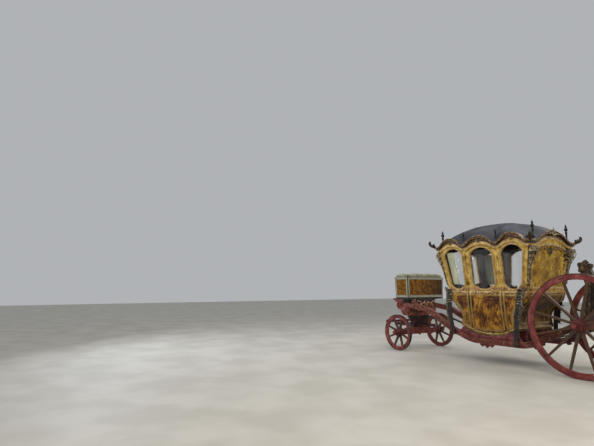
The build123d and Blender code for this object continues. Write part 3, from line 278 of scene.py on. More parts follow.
def frond(origin, along, out, length, width, curl, thick=0.012, lobes=3, steps=14, around=8):
    """A leaf that stands off its ground: its spine sets out along one direction and turns towards another by
    curl * s^1.5, and it is cupped, its edges falling back by a share of their width squared."""
    origin, along, out = (np.asarray(v, float) for v in (origin, along, out))
    along, out = along / np.linalg.norm(along), out / np.linalg.norm(out)
    s = np.linspace(0, 1, steps)
    turn = (curl * s**1.5)[:, None]
    way = np.cos(turn) * along + np.sin(turn) * out
    up = np.cos(turn) * out - np.sin(turn) * along
    across = np.cross(along, out)
    spine = origin + np.cumsum(way, axis=0) * length / steps
    half = (width * np.sin(np.pi * s**0.7) * (0.68 + 0.32 * np.abs(np.sin(lobes * np.pi * s))))[:, None]
    turn = np.linspace(0, 2 * np.pi, around, endpoint=False)[None, :]
    wide = half * np.cos(turn)
    high = thick * np.sin(turn) * np.minimum(1, 12 * half / width) - 0.35 * wide**2 / width
    points = spine[:, None] + wide[..., None] * across + high[..., None] * up[:, None]
    relief = np.clip(0.35 + 0.65 * s[:, None] + 0.4 * np.sin(turn), 0, 1)
    return points.reshape(-1, 3), ring_faces(steps, around), relief.reshape(-1)


def smooth_run(points, steps=8):
    """A Catmull-Rom curve through the points: at each point it runs along the chord of its neighbours."""
    p = np.asarray(points, float)
    p = np.concatenate([2 * p[:1] - p[1:2], p, 2 * p[-1:] - p[-2:-1]])
    t = np.linspace(0, 1, steps, endpoint=False)[:, None]
    out = [0.5 * (2 * b + (c - a) * t + (2 * a - 5 * b + 4 * c - d) * t**2 + (3 * b - a - 3 * c + d) * t**3)
           for a, b, c, d in zip(p, p[1:], p[2:], p[3:])]
    return np.concatenate(out + [p[-2:-1]])


def tube(path, radii, side, around=10, flat=1.0):
    """A tube along points that stay in one plane: across is the plane's normal, up is square to both."""
    path, side = np.asarray(path, float), np.asarray(side, float)
    way = np.gradient(path, axis=0)
    way /= np.linalg.norm(way, axis=1, keepdims=True) + 1e-12
    up = np.cross(side, way)
    turn = np.linspace(0, 2 * np.pi, around, endpoint=False)
    radii = np.broadcast_to(radii, (len(path),))[:, None, None]
    points = path[:, None] + radii * (np.cos(turn)[None, :, None] * up[:, None]
                                      + flat * np.sin(turn)[None, :, None] * side)
    return points.reshape(-1, 3), ring_faces(len(path), around), np.full(len(path) * around, 0.7)


print("one scroll has", len(scroll((0, 0), 0, 0.3, 0.01, 0.01)[0][0]), "points")

# %% [markdown]
# Colours are written as sRGB hex values, as a paint chart would give them, and turned to linear light by one
# function. One more function adds a node with its settings and its links. Every material reads Object
# coordinates, and each pattern's scale is 1000 divided by a real size in millimetres.

# %% Colour and node helpers
def paint(code):
    """A hex colour as linear red, green, blue and alpha: a dark channel c is c / 12.92, and a brighter one is
    ((c + 0.055) / 1.055)^2.4."""
    parts = [int(code[i : i + 2], 16) / 255 for i in (0, 2, 4)]
    return [c / 12.92 if c < 0.04045 else ((c + 0.055) / 1.055) ** 2.4 for c in parts] + [1.0]


def add(tree, kind, *values, stops=(), **settings):
    """Adds a node with its settings, values and links, and gives its first live output. Values fill the
    inputs in their order, or a dict names the inputs. A text is a hex colour, and stops fill a ramp."""
    made = tree.nodes.new("ShaderNode" + kind)
    for key, value in settings.items():
        setattr(made, key, value)
    named = values and isinstance(values[0], dict)
    for key, value in (values[0] if named else dict(enumerate(values))).items():
        if isinstance(value, bpy.types.NodeSocket):
            tree.links.new(value, made.inputs[key])
        else:
            made.inputs[key].default_value = paint(value) if isinstance(value, str) else value
    for count, (at, code) in enumerate(stops):
        band = made.color_ramp.elements
        element = band[count] if count < 2 else band.new(at)
        element.position, element.color = at, paint(code)
    return next(out for out in made.outputs if out.enabled)


def finish(name, stops, patch_mm, rough, grain_mm, bump_mm, *steps, stretch=(1, 1, 1), **sockets):
    """A material: a ramp of colours over large patches, a finer grain in the roughness and the bump, and
    further steps that each paint over the colour so far."""
    made = bpy.data.materials.new(name)
    made.use_nodes = True
    tree = made.node_tree
    shader = tree.nodes["Principled BSDF"]
    where = add(tree, "TexCoord").node.outputs["Object"]
    place = add(tree, "Mapping", {"Vector": where, "Scale": stretch})
    patch = add(tree, "TexNoise", {"Vector": place, "Scale": 1000 / patch_mm, "Detail": 5.0})
    grain = add(tree, "TexNoise", {"Vector": place, "Scale": 1000 / grain_mm, "Detail": 3.0})
    colour = add(tree, "ValToRGB", patch, stops=stops)
    for step in steps:
        colour = step(tree, where, colour, grain)
    tree.links.new(colour, shader.inputs["Base Color"])
    sheen = add(tree, "MapRange", {"Value": grain, "From Min": 0.3, "From Max": 0.7,
                                   "To Min": rough[0], "To Max": rough[1]})
    tree.links.new(sheen, shader.inputs["Roughness"])
    bump = add(tree, "Bump", {"Height": grain, "Distance": bump_mm / 1000, "Strength": 0.8})
    tree.links.new(bump, shader.inputs["Normal"])
    for key, value in sockets.items():
        shader.inputs[key.replace("_", " ")].default_value = value
    return made
print("middle grey in linear light", round(paint("808080")[0], 3))

# %% [markdown]
# Gilding is beaten gold leaf over red-brown bole on carved limewood. Two and a half centuries of handling
# leave it ochre rather than yellow, rubbed to the bole on high edges and brown with dirt in the hollows.
# A leaf is 80 mm square, so the patches are about that size. The relief number darkens the hollows.

# %% Gilded finishes
def in_hollows(dark, low, high):
    """Makes a step that fades a dark colour in where the relief number is small."""
    def step(tree, where, colour, grain):
        relief = add(tree, "Attribute", attribute_name="relief").node.outputs["Fac"]
        faint = add(tree, "Math", grain, 0.25, operation="MULTIPLY")
        edge = add(tree, "Math", relief, faint, operation="ADD")
        share = add(tree, "MapRange", {"Value": edge, "From Min": low, "From Max": high})
        return add(tree, "Mix", {0: share, 6: dark, 7: colour}, data_type="RGBA")
    return step


gilt_moulding = finish("gilt_moulding_oil_gilded_wood", [(0.3, "907038"), (0.46, "BC9C5E"), (0.62, "D8C084")],
                       80, (0.34, 0.52), 6, 0.4, Metallic=0.4)
gilt_leaf = finish("carved_leaf_gilded_over_bole", [(0.3, "9C7431"), (0.5, "C29F5A"), (0.7, "D8C28E")],
                   60, (0.3, 0.5), 5, 0.5, in_hollows("35170C", 0.1, 0.75), Metallic=0.4)
aged_leaf = finish("corner_carving_worn_gilding", [(0.35, "4A381F"), (0.5, "9A8152"), (0.65, "D6C9A6")],
                   45, (0.36, 0.6), 5, 0.6, in_hollows("1D120B", 0.2, 0.95), Metallic=0.3)
rose_leaf = finish("carving_rose_and_gold", [(0.35, "80523C"), (0.5, "AE8060"), (0.68, "DAB88E")],
                   50, (0.38, 0.6), 5, 0.5, in_hollows("4A2416", 0.05, 0.7), Metallic=0.15)
carved_wood = finish("dark_carved_wood", [(0.3, "16110D"), (0.5, "2C221A"), (0.7, "544430")],
                     60, (0.4, 0.62), 7, 0.8, Metallic=0.1, Specular_IOR_Level=0.25)
print("materials so far", len(bpy.data.materials))

# %% [markdown]
# The panels are gilded flat and then glazed and painted in rust and umber, which has sunk into cloudy upright
# streaks with gold between. The design here is plain cloud and streak of the same colours and scale: a fine
# noise stretched upwards, pushed lighter or darker by a broad one, and by the height above the foot.

# %% Painted and gilded panels
streak_mm, cloud_mm, belt_foot = 60, 210, 1.43
wall_thick, wall_tuck = 0.028, 0.102
lining_low, lining_reach = 1.53, 0.56
painted_out, covered_out = 0.028, 0.004


def glazed_paint(layers, belt=0.0):
    """Makes a step that paints streaks twice as tall as wide. Each layer is the height at which it covers,
    the height at which it starts, and its colours. The belt is the share of a rose band under the waist."""
    def step(tree, where, colour, grain):
        tall = add(tree, "Mapping", {"Vector": where, "Scale": (1.0, 1.0, 0.5)})
        streak = add(tree, "TexNoise", {"Vector": tall, "Scale": 1000 / streak_mm, "Detail": 4.0,
                                        "Roughness": 0.6, "Distortion": 1.2})
        broad = add(tree, "TexNoise", {"Vector": where, "Scale": 1000 / cloud_mm, "Detail": 1.0})
        push = add(tree, "Math", broad, 0.9, -0.45, operation="MULTIPLY_ADD")
        height = add(tree, "SeparateXYZ", {"Vector": where}).node.outputs["Z"]
        foot = add(tree, "MapRange", {"Value": height, "From Min": 1.15, "From Max": 0.85, "To Max": 0.06})
        shade = add(tree, "Math", streak, push, operation="ADD")
        shade = add(tree, "Math", shade, foot, operation="ADD")
        for low, high, stops in layers:
            share = add(tree, "MapRange", {"Value": height, "From Min": high, "From Max": low})
            paintwork = add(tree, "ValToRGB", shade, stops=stops)
            colour = add(tree, "Mix", {0: share, 6: colour, 7: paintwork}, data_type="RGBA")
        if not belt:
            return colour
        above = add(tree, "MapRange", {"Value": height, "From Min": belt_foot - 0.005,
                                       "From Max": belt_foot + 0.005})
        below = add(tree, "MapRange", {"Value": height, "From Min": waist_z + 0.02,
                                       "From Max": waist_z - 0.02, "To Max": belt})
        rose = add(tree, "ValToRGB", streak, stops=[(0.38, "6A4426"), (0.5, "8F6A42"), (0.62, "B08E5E")])
        band = add(tree, "Math", above, below, operation="MULTIPLY")
        return add(tree, "Mix", {0: band, 6: colour, 7: rose}, data_type="RGBA")
    return step


def tinted(axis, start, end, tint, most):
    """Makes a step that blends in one colour along an axis, from nothing at start to a share at end."""
    def step(tree, where, colour, grain):
        along = add(tree, "SeparateXYZ", {"Vector": where}).node.outputs[axis]
        share = add(tree, "MapRange", {"Value": along, "From Min": start, "From Max": end, "To Max": most})
        return add(tree, "Mix", {0: share, 6: colour, 7: tint}, data_type="RGBA")
    return step


def from_middle(tree, where):
    """Distances from the body's middle, lengthwise and crosswise, and the height."""
    axes = add(tree, "SeparateXYZ", {"Vector": where}).node.outputs
    ahead = add(tree, "Math", axes["X"], body_x, operation="SUBTRACT")
    ahead = add(tree, "Math", ahead, operation="ABSOLUTE")
    return ahead, add(tree, "Math", axes["Y"], operation="ABSOLUTE"), axes["Z"]


def lined(tree, where, colour, grain):
    """A step that turns the inner faces of the walls to dark crimson cloth. A point is inside when it is
    further in from the outline than the wall is thick. The outline leans out above the waist and tucks under
    as a cubic curve below. The cloth ends at the sills, and goes down to the floor between the quarters."""
    ahead, across, height = from_middle(tree, where)
    over = add(tree, "Math", height, waist_z, operation="SUBTRACT")
    over = add(tree, "Math", over, 0.0, operation="MAXIMUM")
    under = add(tree, "Math", waist_z, height, operation="SUBTRACT")
    under = add(tree, "Math", under, 0.0, operation="MAXIMUM")
    under = add(tree, "Math", under, 3.0, operation="POWER")
    under = add(tree, "Math", under, wall_tuck, operation="MULTIPLY")
    side = add(tree, "Math", over, side_lean, operation="MULTIPLY")
    side = add(tree, "Math", side, under, operation="SUBTRACT")
    side = add(tree, "Math", side, across, operation="SUBTRACT")
    in_side = add(tree, "Math", side, wall_thick - half_wid_waist, operation="GREATER_THAN")
    end = add(tree, "Math", over, end_lean, operation="MULTIPLY")
    end = add(tree, "Math", end, ahead, operation="SUBTRACT")
    in_end = add(tree, "Math", end, wall_thick - half_len_waist, operation="GREATER_THAN")
    upper = add(tree, "Math", height, lining_low, operation="GREATER_THAN")
    middle = add(tree, "Math", ahead, lining_reach, operation="LESS_THAN")
    inside = add(tree, "Math", upper, middle, operation="MAXIMUM")
    inside = add(tree, "Math", inside, in_side, operation="MULTIPLY")
    inside = add(tree, "Math", inside, in_end, operation="MULTIPLY")
    cloth = add(tree, "ValToRGB", grain, stops=[(0.35, "26090C"), (0.65, "4A141A")])
    return add(tree, "Mix", {0: inside, 6: colour, 7: cloth}, data_type="RGBA")


def cornice_bands(tree, where, colour, grain):
    """A step for the courses of the cornice, by how far they stand out: gold below, dark red-brown paint
    above. What lies inside the wall's line is covered by the roof's leather."""
    ahead, across, height = from_middle(tree, where)
    side = add(tree, "Math", across, half_wid_top, operation="SUBTRACT")
    end = add(tree, "Math", ahead, half_len_top, operation="SUBTRACT")
    out = add(tree, "Math", side, end, operation="MAXIMUM")
    painted = add(tree, "Math", out, painted_out, operation="GREATER_THAN")
    rust = add(tree, "ValToRGB", grain, stops=[(0.35, "1E0F08"), (0.65, "4A2A17")])
    colour = add(tree, "Mix", {0: painted, 6: colour, 7: rust}, data_type="RGBA")
    covered = add(tree, "Math", out, covered_out, operation="LESS_THAN")
    return add(tree, "Mix", {0: covered, 6: colour, 7: "26282F"}, data_type="RGBA")


rust_stops = [(0.33, "3C1C08"), (0.45, "5C350E"), (0.56, "85581A"), (0.70, "B08028")]
gilt_panel = finish("panel_gilded_and_painted", [(0.32, "8C6622"), (0.48, "B49242"), (0.64, "D4B668")],
                    120, (0.38, 0.58), 5, 0.3, glazed_paint([(1.385, 1.43, rust_stops)], 0.85), lined,
                    Metallic=0.25, Specular_IOR_Level=0.25)
ochre_stops = [(0.28, "6E4A10"), (0.43, "9A721A"), (0.57, "C49A34"), (0.72, "DEB852")]
umber_stops = [(0.33, "26160A"), (0.46, "432C10"), (0.57, "66471A"), (0.72, "8E6C2C")]
# The rear wall's gold is its own ochre, and it is also set lighter than the other panels: a painted light,
# because the rear wall faces away from the key lamp.
rear_panel = finish("rear_panel_glazed_gold", [(0.32, "A07A1C"), (0.48, "C89C30"), (0.66, "E2BC4A")],
                    110, (0.38, 0.56), 5, 0.3,
                    glazed_paint([(2.2, 2.6, ochre_stops), (1.36, 1.50, umber_stops)]), lined,
                    Metallic=0.2, Specular_IOR_Level=0.25)
gilt_low = finish("moulding_gilt_dulled_below_belt", [(0.3, "90703A"), (0.46, "BC9C60"), (0.62, "D8C084")],
                  80, (0.36, 0.54), 6, 0.4, tinted("Z", 1.47, 1.38, "6E5220", 0.75), Metallic=0.35)
foot_gilt = finish("foot_gilding_dulled", [(0.32, "5A4524"), (0.48, "7E683C"), (0.64, "A08A58")], 90,
                   (0.4, 0.58), 5, 0.4, lined, Metallic=0.3, Specular_IOR_Level=0.25)
cornice_gilt = finish("cornice_gilded_and_painted", [(0.3, "85602A"), (0.46, "AF8C4B"), (0.62, "CAAD6E")],
                      80, (0.34, 0.52), 6, 0.4, cornice_bands, Metallic=0.4)
print("materials so far", len(bpy.data.materials))

# %% [markdown]
# The running gear is oak and ash in a dull madder red, an oil paint that has lost its gloss. It is purple in
# the shade. On the carved timbers a painted highlight makes it pinker towards the front, and a painted shade
# darkens it towards the rear. The grain telegraphs through it in fine lines along each timber. Iron tyres
# are brown with a polished tread.

# %% Paint, iron, leather and glass
def worn(dark, share):
    """Makes a step that lets dirt sit in patches of a fine noise."""
    def step(tree, where, colour, grain):
        spots = add(tree, "TexNoise", {"Vector": where, "Scale": 1000 / 22, "Detail": 6.0, "Roughness": 0.7})
        mask = add(tree, "MapRange", {"Value": spots, "From Min": 0.56, "From Max": 0.66, "To Max": share})
        return add(tree, "Mix", {0: mask, 6: colour, 7: dark}, data_type="RGBA")
    return step


def spoked(end, nave, rim):
    """Makes a step that darkens the nave by half as painted shade, and leaves a wheel's spokes as dark oiled
    wood: r = sqrt(dx^2 + dz^2) from the axle lies between nave and rim."""
    def step(tree, where, colour, grain):
        off = add(tree, "VectorMath", where, (axle_x[end], 0.0, wheel_r[end]), operation="SUBTRACT")
        flat = add(tree, "VectorMath", off, (1.0, 0.0, 1.0), operation="MULTIPLY")
        r = add(tree, "VectorMath", flat, operation="LENGTH")
        # The nave is darkened by half: painted shade.
        hub_shade = add(tree, "MapRange", {"Value": r, "From Min": nave + 0.03, "From Max": nave, "To Max": 0.5})
        colour = add(tree, "Mix", {0: hub_shade, 6: colour, 7: "3C1C24"}, data_type="RGBA")
        past = add(tree, "MapRange", {"Value": r, "From Min": nave, "From Max": nave + 0.02})
        short = add(tree, "MapRange", {"Value": r, "From Min": rim, "From Max": rim - 0.03})
        share = add(tree, "Math", past, short, operation="MULTIPLY")
        oak = add(tree, "ValToRGB", grain, stops=[(0.35, "2B1A12"), (0.5, "46301F"), (0.65, "62482F")])
        return add(tree, "Mix", {0: share, 6: colour, 7: oak}, data_type="RGBA")
    return step


madder_stops, dirt = [(0.3, "5A211F"), (0.5, "73322F"), (0.7, "8B4E46")], worn("3A1510", 0.6)
madder = finish("madder_red_oil_paint", madder_stops, 160, (0.42, 0.6), 9, 0.5, dirt, Specular_IOR_Level=0.25)
wheel_paint = {}
for end, nave, rim in (("rear", 0.12, 0.797), ("front", 0.1, 0.347)):
    wheel_paint[end] = finish(end + "_wheel_madder_and_oiled_oak", madder_stops, 160, (0.42, 0.6), 9, 0.5,
                              dirt, spoked(end, nave, rim), Specular_IOR_Level=0.25)
# The carved timbers are painted pinker towards the front, a painted highlight, and darker towards the rear, a
# painted shade.
madder_carved = finish("madder_red_carved_timber", [(0.3, "441A1E"), (0.5, "642A2F"), (0.68, "81483F")], 90,
                       (0.4, 0.6), 8, 0.9, tinted("X", 0.6, 2.3, "9C6256", 0.55),
                       tinted("X", -0.9, -1.7, "1C0F10", 0.65), worn("2A110C", 0.8), Specular_IOR_Level=0.25)
# A darker copy of the madder for the bolster and futchells: painted shade for the dark hollow under the front
# carriage.
madder_shaded = finish("madder_paint_with_painted_shade", [(0.3, "1C0B0D"), (0.5, "331518"), (0.7, "52282A")], 90,
                     (0.4, 0.6), 8, 0.9, worn("140808", 0.7), Specular_IOR_Level=0.25)
iron = finish("wrought_iron_tyre", [(0.3, "2B1B1A"), (0.5, "4A2C2B"), (0.7, "6B4443")], 90, (0.36, 0.6),
              5, 0.4, worn("1B100E", 0.8), Metallic=0.55)
black_iron = finish("black_japanned_iron", [(0.35, "14110F"), (0.55, "26201C"), (0.75, "4A4036")], 40,
                    (0.3, 0.5), 4, 0.3, Metallic=0.4)
brass = finish("brass_cast_and_lacquered", [(0.35, "7A5A22"), (0.55, "B08A3C"), (0.75, "D3B365")], 40,
               (0.2, 0.36), 4, 0.2, Metallic=1.0)
strap_leather = finish("harness_leather_black_brown", [(0.35, "17130F"), (0.55, "2A231C"), (0.75, "463A2E")],
                       70, (0.42, 0.62), 3, 0.5, Specular_IOR_Level=0.3)
roof_leather = finish("roof_leather_blackened_and_faded", [(0.3, "16171D"), (0.5, "262830"), (0.7, "3C3E4A")],
                      240, (0.46, 0.62), 7, 0.6, worn("131214", 0.7), Specular_IOR_Level=0.3)
# The velvet is painted darker towards the coach's right on every face: a painted shade for the shadow that
# the body casts on that half of the seat.
velvet = finish("velvet_golden_brown", [(0.32, "4A3009"), (0.5, "6F4814"), (0.7, "906824")], 90, (0.7, 0.9),
                3, 0.5, worn("452607", 0.6), tinted("Y", 0.1, -0.6, "1C140B", 0.7), Specular_IOR_Level=0.1,
                Sheen_Weight=0.2, Sheen_Roughness=0.4)
canvas = finish("seat_cover_grey_green_cloth", [(0.32, "666550"), (0.5, "84836C"), (0.7, "A3A28C")], 120,
                (0.7, 0.9), 3, 0.5, Sheen_Weight=0.2)
crimson = finish("crimson_silk_velvet_lining", [(0.32, "2C0A0E"), (0.5, "471218"), (0.7, "641F24")], 90,
                 (0.6, 0.85), 3, 0.5, Sheen_Weight=0.4, Sheen_Roughness=0.4)
braid = finish("silver_braid_tarnished", [(0.35, "6E6F60"), (0.55, "9C9C88"), (0.75, "C2C0A8")], 12,
               (0.4, 0.6), 2.5, 0.6, Metallic=0.35)
glass = finish("old_cylinder_glass", [(0.3, "F2F3EC"), (0.7, "FCFCF8")], 300, (0.02, 0.06), 260, 0.5,
               Transmission_Weight=1.0, IOR=1.5, Alpha=0.08)
print("materials", len(bpy.data.materials))

# %% [markdown]
# Every node of the CAD model now gets one of these finishes. The table reads as a work order for the paint
# shop: which finish, and the parts that get it.

# %% Finishes for the CAD nodes
node_finish = {}
for material, names in (
    (wheel_paint["rear"], "wheel_rear_left wheel_rear_right"),
    (wheel_paint["front"], "wheel_front_left wheel_front_right"),
    (iron, "tyre_rear_left tyre_rear_right tyre_front_left tyre_front_right"),
    (madder, "rear_axle front_axle splinter_bar footboard"),
    (madder_shaded, "bolster futchells"),
    (madder_carved, "front_transom rear_transom perches body_feet"),
    (black_iron, "turntable_upper turntable_lower king_pin brace_rollers finials"),
    (strap_leather, "braces check_straps seat_frame"),
    (foot_gilt, "body_floor"),
    (gilt_panel, "door_left door_right front_quarters rear_quarters front_wall"),
    (rear_panel, "rear_wall"),
    (glass, "door_glass_left door_glass_right quarter_glass front_glass"),
    (gilt_low, "body_mouldings door_mouldings_left door_mouldings_right"),
    (brass, "door_hinges door_fittings_left door_fittings_right"),
    (cornice_gilt, "cornice"),
    (aged_leaf, "cornice_crests"),
    (roof_leather, "roof"),
    (carved_wood, "corner_carvings rear_carving seat_carving"),
    (crimson, "benches seat_cushions seat_backs"),
    (velvet, "coachman_seat"),
):
    node_finish.update(dict.fromkeys(names.split(), material))
for name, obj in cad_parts.items():
    obj.data.materials.clear()
    obj.data.materials.append(node_finish[name])
print("nodes finished", len(node_finish))

# %% [markdown]
# The cornice runs in waves: a broad arch over each window and a tight valley between. The gilder's bright
# line along it is a half-round bead, so the path of the wave is worked out first, with the same two arcs
# that the timber has, and a ridge is carried along it.

# %% The wave of the cornice
def wave(extrema, share=0.74, steps=10):
    """Points along arcs through a row of peaks and valleys, level at each. From a peak the first arc takes
    74% of the span, and into a valley the second takes the rest."""
    out = [np.array(extrema[0], float)[None]]
    for (x0, z0), (x1, z1) in zip(extrema, extrema[1:]):
        span, rise = x1 - x0, z1 - z0
        if abs(rise) < 1e-6:
            out.append(np.array([[x1, z1]]))
            continue
        whole = (span**2 + rise**2) / (2 * abs(rise))
        turn = math.asin(min(1, abs(span) / whole))
        turn = math.pi - turn if abs(rise) > abs(span) else turn
        cut = share if z0 > z1 else 1 - share
        for near, far, r, sign in ((x0, z0, whole * cut, 1), (x1, z1, whole * (1 - cut), -1)):
            a = np.linspace(0, turn, steps) if sign > 0 else np.linspace(turn, 0, steps)
            x = near + sign * math.copysign(1, span) * r * np.sin(a)
            z = far + sign * math.copysign(1, rise) * r * (1 - np.cos(a))
            out.append(np.c_[x, z])
    path = np.concatenate(out)
    keep = np.r_[True, np.linalg.norm(np.diff(path, axis=0), axis=1) > 2e-3]
    return path[keep]


def side_wave(share, reach):
    """The side's wave at a share of the cornice's height, from end to end."""
    low, high = top_z + 0.112 * share, 2.48 + 0.188 * share
    row = [(-reach, low), (-half_len_top, low), (-0.74, high), (-0.4, low), (0, high)]
    return wave(row + [(-x, z) for x, z in reversed(row[:-1])])


def end_wave(share, reach):
    """The same for the front and rear, one broad arch."""
    low, high = top_z + 0.112 * share, 2.54 + 0.172 * share
    row = [(-reach, low), (-half_wid_top + 0.09, low), (0, high)]
    return wave(row + [(-x, z) for x, z in reversed(row[:-1])])


def plain(points, axis, at, sign):
    """Flat (along, height, proud) points on an upright plane at a distance from the body's middle."""
    a, b, h = np.asarray(points).T
    return np.c_[body_x + a, sign * (at + h), b] if axis == "y" else np.c_[body_x + sign * (at + h), a, b]


cornice_beads = []
for share, out, half, rise in ((0.06, 0.026, 0.012, 0.012), (0.37, 0.026, 0.009, 0.016),
                               (0.97, 0.078, 0.014, 0.013), (0.76, 0.078, 0.007, 0.008)):
    for sign in (1, -1):
        for path, axis, at in ((side_wave(share, half_len_top + out), "y", half_wid_top + out),
                               (end_wave(share, half_wid_top + out), "x", half_len_top + out)):
            cornice_beads += laid([ridge(path, half, rise)], plain, axis, at, sign)
lip_gilt = finish("lip_gilding_rubbed_to_grey", [(0.35, "35220F"), (0.5, "6E4E26"), (0.68, "B69660")], 35,
                  (0.4, 0.6), 5, 0.5, Metallic=0.3)
piece("cornice_beads", cornice_beads[:8], gilt_moulding, "carriage")
piece("cornice_lip", cornice_beads[8:], lip_gilt, "carriage")
print("cornice bead points", sum(len(p) for p, f, r in cornice_beads))

# %% [markdown]
# Carved crests sit on each peak of the cornice: two scrolls back to back with a fan of leaves between.
# The same small group, larger, marks the middle of the front and rear.

# %% Crests on the cornice
def crest(at, size):
    """Two scrolls back to back, a fan of five leaves and a flower."""
    x, z = at
    low = z - 0.02 * size
    parts = mirrored(scroll((x + 0.085 * size, low), 20, 0.36 * size, 0.016 * size, 0.022 * size, -34), x)
    for way, long in ((90, 0.19), (58, 0.16), (122, 0.16), (26, 0.13), (154, 0.13)):
        parts += leaf((x, low), way, long * size, 0.036 * size, 0.03 * size, 0, 3)
    return parts + flower((x, z - 0.03 * size), 0.045 * size, 0.034 * size)


peak_crests = []
for sign in (1, -1):
    for x in (-0.74, 0.0, 0.74):
        peak_crests += laid(crest((x, 2.585), 0.62), plain, "y", half_wid_top + 0.05, sign)
peak_gold = finish("peak_carving_gold_over_brown", [(0.35, "5A3F1D"), (0.5, "93713A"), (0.7, "C9A968")],
                   45, (0.36, 0.56), 5, 0.5, in_hollows("20120A", 0.35, 1.0), Metallic=0.3)
piece("cornice_peak_carvings", peak_crests, peak_gold, "carriage")
for name, sign in (("front", 1), ("rear", -1)):
    parts = laid(crest((0, 2.655), 0.8), plain, "x", half_len_top + 0.08, sign)
    end_crest = piece("crest_leaves_" + name, parts, aged_leaf, "carriage")
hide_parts("cornice_crests")
print("ornaments on the cornice peaks", len(peak_crests))

# %% [markdown]
# At each corner a console carries the eave. It stands out from the end wall along its edge: broad and deep
# under the eave, and shrinking to one small scroll at the waist. Its face is a run of overlapping leaves,
# which gives the bumpy outline that it has against the light. Its cheek carries a spiral at head and foot.

# %% The corner consoles
console_low, console_high = 1.60, 2.372
four_corners = [(1, 1), (1, -1), (-1, 1), (-1, -1)]


def console_size(z):
    """Width along the wall and depth out of it at a height, read from a short table."""
    steps = [console_low, 1.66, 1.74, 1.9, 2.05, 2.14, 2.25, 2.33, console_high]
    wide = np.interp(z, steps, [0.012, 0.065, 0.055, 0.065, 0.09, 0.155, 0.23, 0.25, 0.235])
    deep = np.interp(z, steps, [0.004, 0.05, 0.028, 0.032, 0.052, 0.10, 0.15, 0.154, 0.10])
    return wide, deep


def in_from_corner(points, sx, sy):
    """(inwards from the corner, height, proud) points laid on an end wall."""
    a, b, h = np.asarray(points).T
    return np.c_[body_x + sx * (half_length(b) + h), sy * (half_width(b) - a), b]


def console_cheek(points, sx, sy):
    """(out from the end wall, height, proud) points laid on the console's cheek, 5 mm off the side wall."""
    a, b, h = np.asarray(points).T
    return np.c_[body_x + sx * (half_length(b) + a), sy * (half_width(b) + (h + 0.005)), b]


def console_front(points, sx, sy):
    """(inwards, height, above the face) points laid on the console's rounded front."""
    a, b, h = np.asarray(points).T
    wide, deep = console_size(b)
    base = deep * 0.86 * np.maximum(1 - np.clip(a / wide, 0, 1) ** 2, 0) ** 0.55
    return in_from_corner(np.c_[a, b, base + h - 0.004], sx, sy)


def console_block(sx, sy):
    """The block in overlapping leaves, each standing out further down to its tip: at each height a front that
    rounds off inwards as (1 - t^2)^0.55, a cheek and a back."""
    z = np.linspace(console_low, console_high, 180)
    wide, deep = console_size(z)
    flute = ((console_high - z) / 0.105 % 1.0) ** 1.4
    t = np.linspace(1, 0, 12)
    a = np.c_[wide[:, None] * t, 0 * wide - 0.006, 0 * wide - 0.006, wide]
    h = (deep * (0.50 + 0.50 * flute))[:, None] * (1 - t**2) ** 0.55
    h = np.c_[h, h[:, -1] * 0.9, 0 * wide - 0.012, 0 * wide - 0.012]
    b = np.broadcast_to(z[:, None], a.shape)
    relief = np.broadcast_to((0.1 + 0.45 * flute)[:, None], a.shape)
    points = in_from_corner(np.stack([a, b, h], axis=-1).reshape(-1, 3), sx, sy)
    ends = [points[:15].mean(axis=0), points[-15:].mean(axis=0)]
    points = np.concatenate([np.tile(ends[0], (15, 1)), points, np.tile(ends[1], (15, 1))])
    return points, ring_faces(182, 15), np.concatenate([relief[0], relief.reshape(-1), relief[-1]])


def spiral(middle, outer, inner, turns, start=0.0, steps=60):
    """Points on a spiral whose radius falls evenly from outer to inner."""
    turn = np.linspace(0, turns * 2 * np.pi, steps)
    r = outer + (inner - outer) * turn / turn[-1]
    return np.asarray(middle) + np.c_[r * np.cos(turn + start), r * np.sin(turn + start)]


front_carving, cheek_carving = [], []
for k, at in enumerate(np.arange(2.33, 1.66, -0.062)):
    w, d = (float(v) for v in console_size(at))
    turn = 1 if k % 2 else -1
    front_carving += scroll((0.5 * w, at), 90 + 50 * turn, 0.3 * w + 0.07, 0.0065, 0.012, turn * 34, kind="s")
    for way, long in ((-60, 0.5), (-115, 0.45)):
        front_carving += leaf((0.5 * w, at + 0.02), way, long * w + 0.03, 0.1 * w + 0.006, 0.013,
                              0.8 * turn, 3, 12, 0, 8)
    if d > 0.05:
        cheek_carving += leaf((0.2 * d, at + 0.02), -55, 0.7 * d, 0.12 * d + 0.004, 0.01, -0.8, 3, 12, 0, 8)
path = spiral((0.068, 2.312), 0.05, 0.012, 2.1, 1.2)
cheek_carving += [ridge(path, 0.008, 0.013), boss((0.068, 2.312), 0.015, 0.016)]
path = spiral((0.02, 1.672), 0.02, 0.006, 1.6, 1.2, 36)
cheek_carving += [ridge(path, 0.005, 0.009), boss((0.02, 1.672), 0.006, 0.01)]
z = np.linspace(2.26, 1.70, 40)
cheek_carving.append(ridge(np.c_[console_size(z)[1] * 0.82, z], 0.006, 0.01))
blocks, curls = [], []
for sx, sy in four_corners:
    blocks.append(console_block(sx, sy))
    curls += laid(front_carving, console_front, sx, sy) + laid(cheek_carving, console_cheek, sx, sy)
consoles = piece("corner_consoles", blocks, aged_leaf, "carriage")
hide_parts("corner_carvings")
piece("corner_acanthus", curls, aged_leaf, "carriage")
print("console ornaments", len(curls))

# %% [markdown]
# The window frames. The timber frame is square in section, so a half-round gilt bead follows the glass and a
# thinner one follows the outside. Both are closed ridges on the window's outline: a bowed sill, two sides
# that lean with the wall, and an arched head.

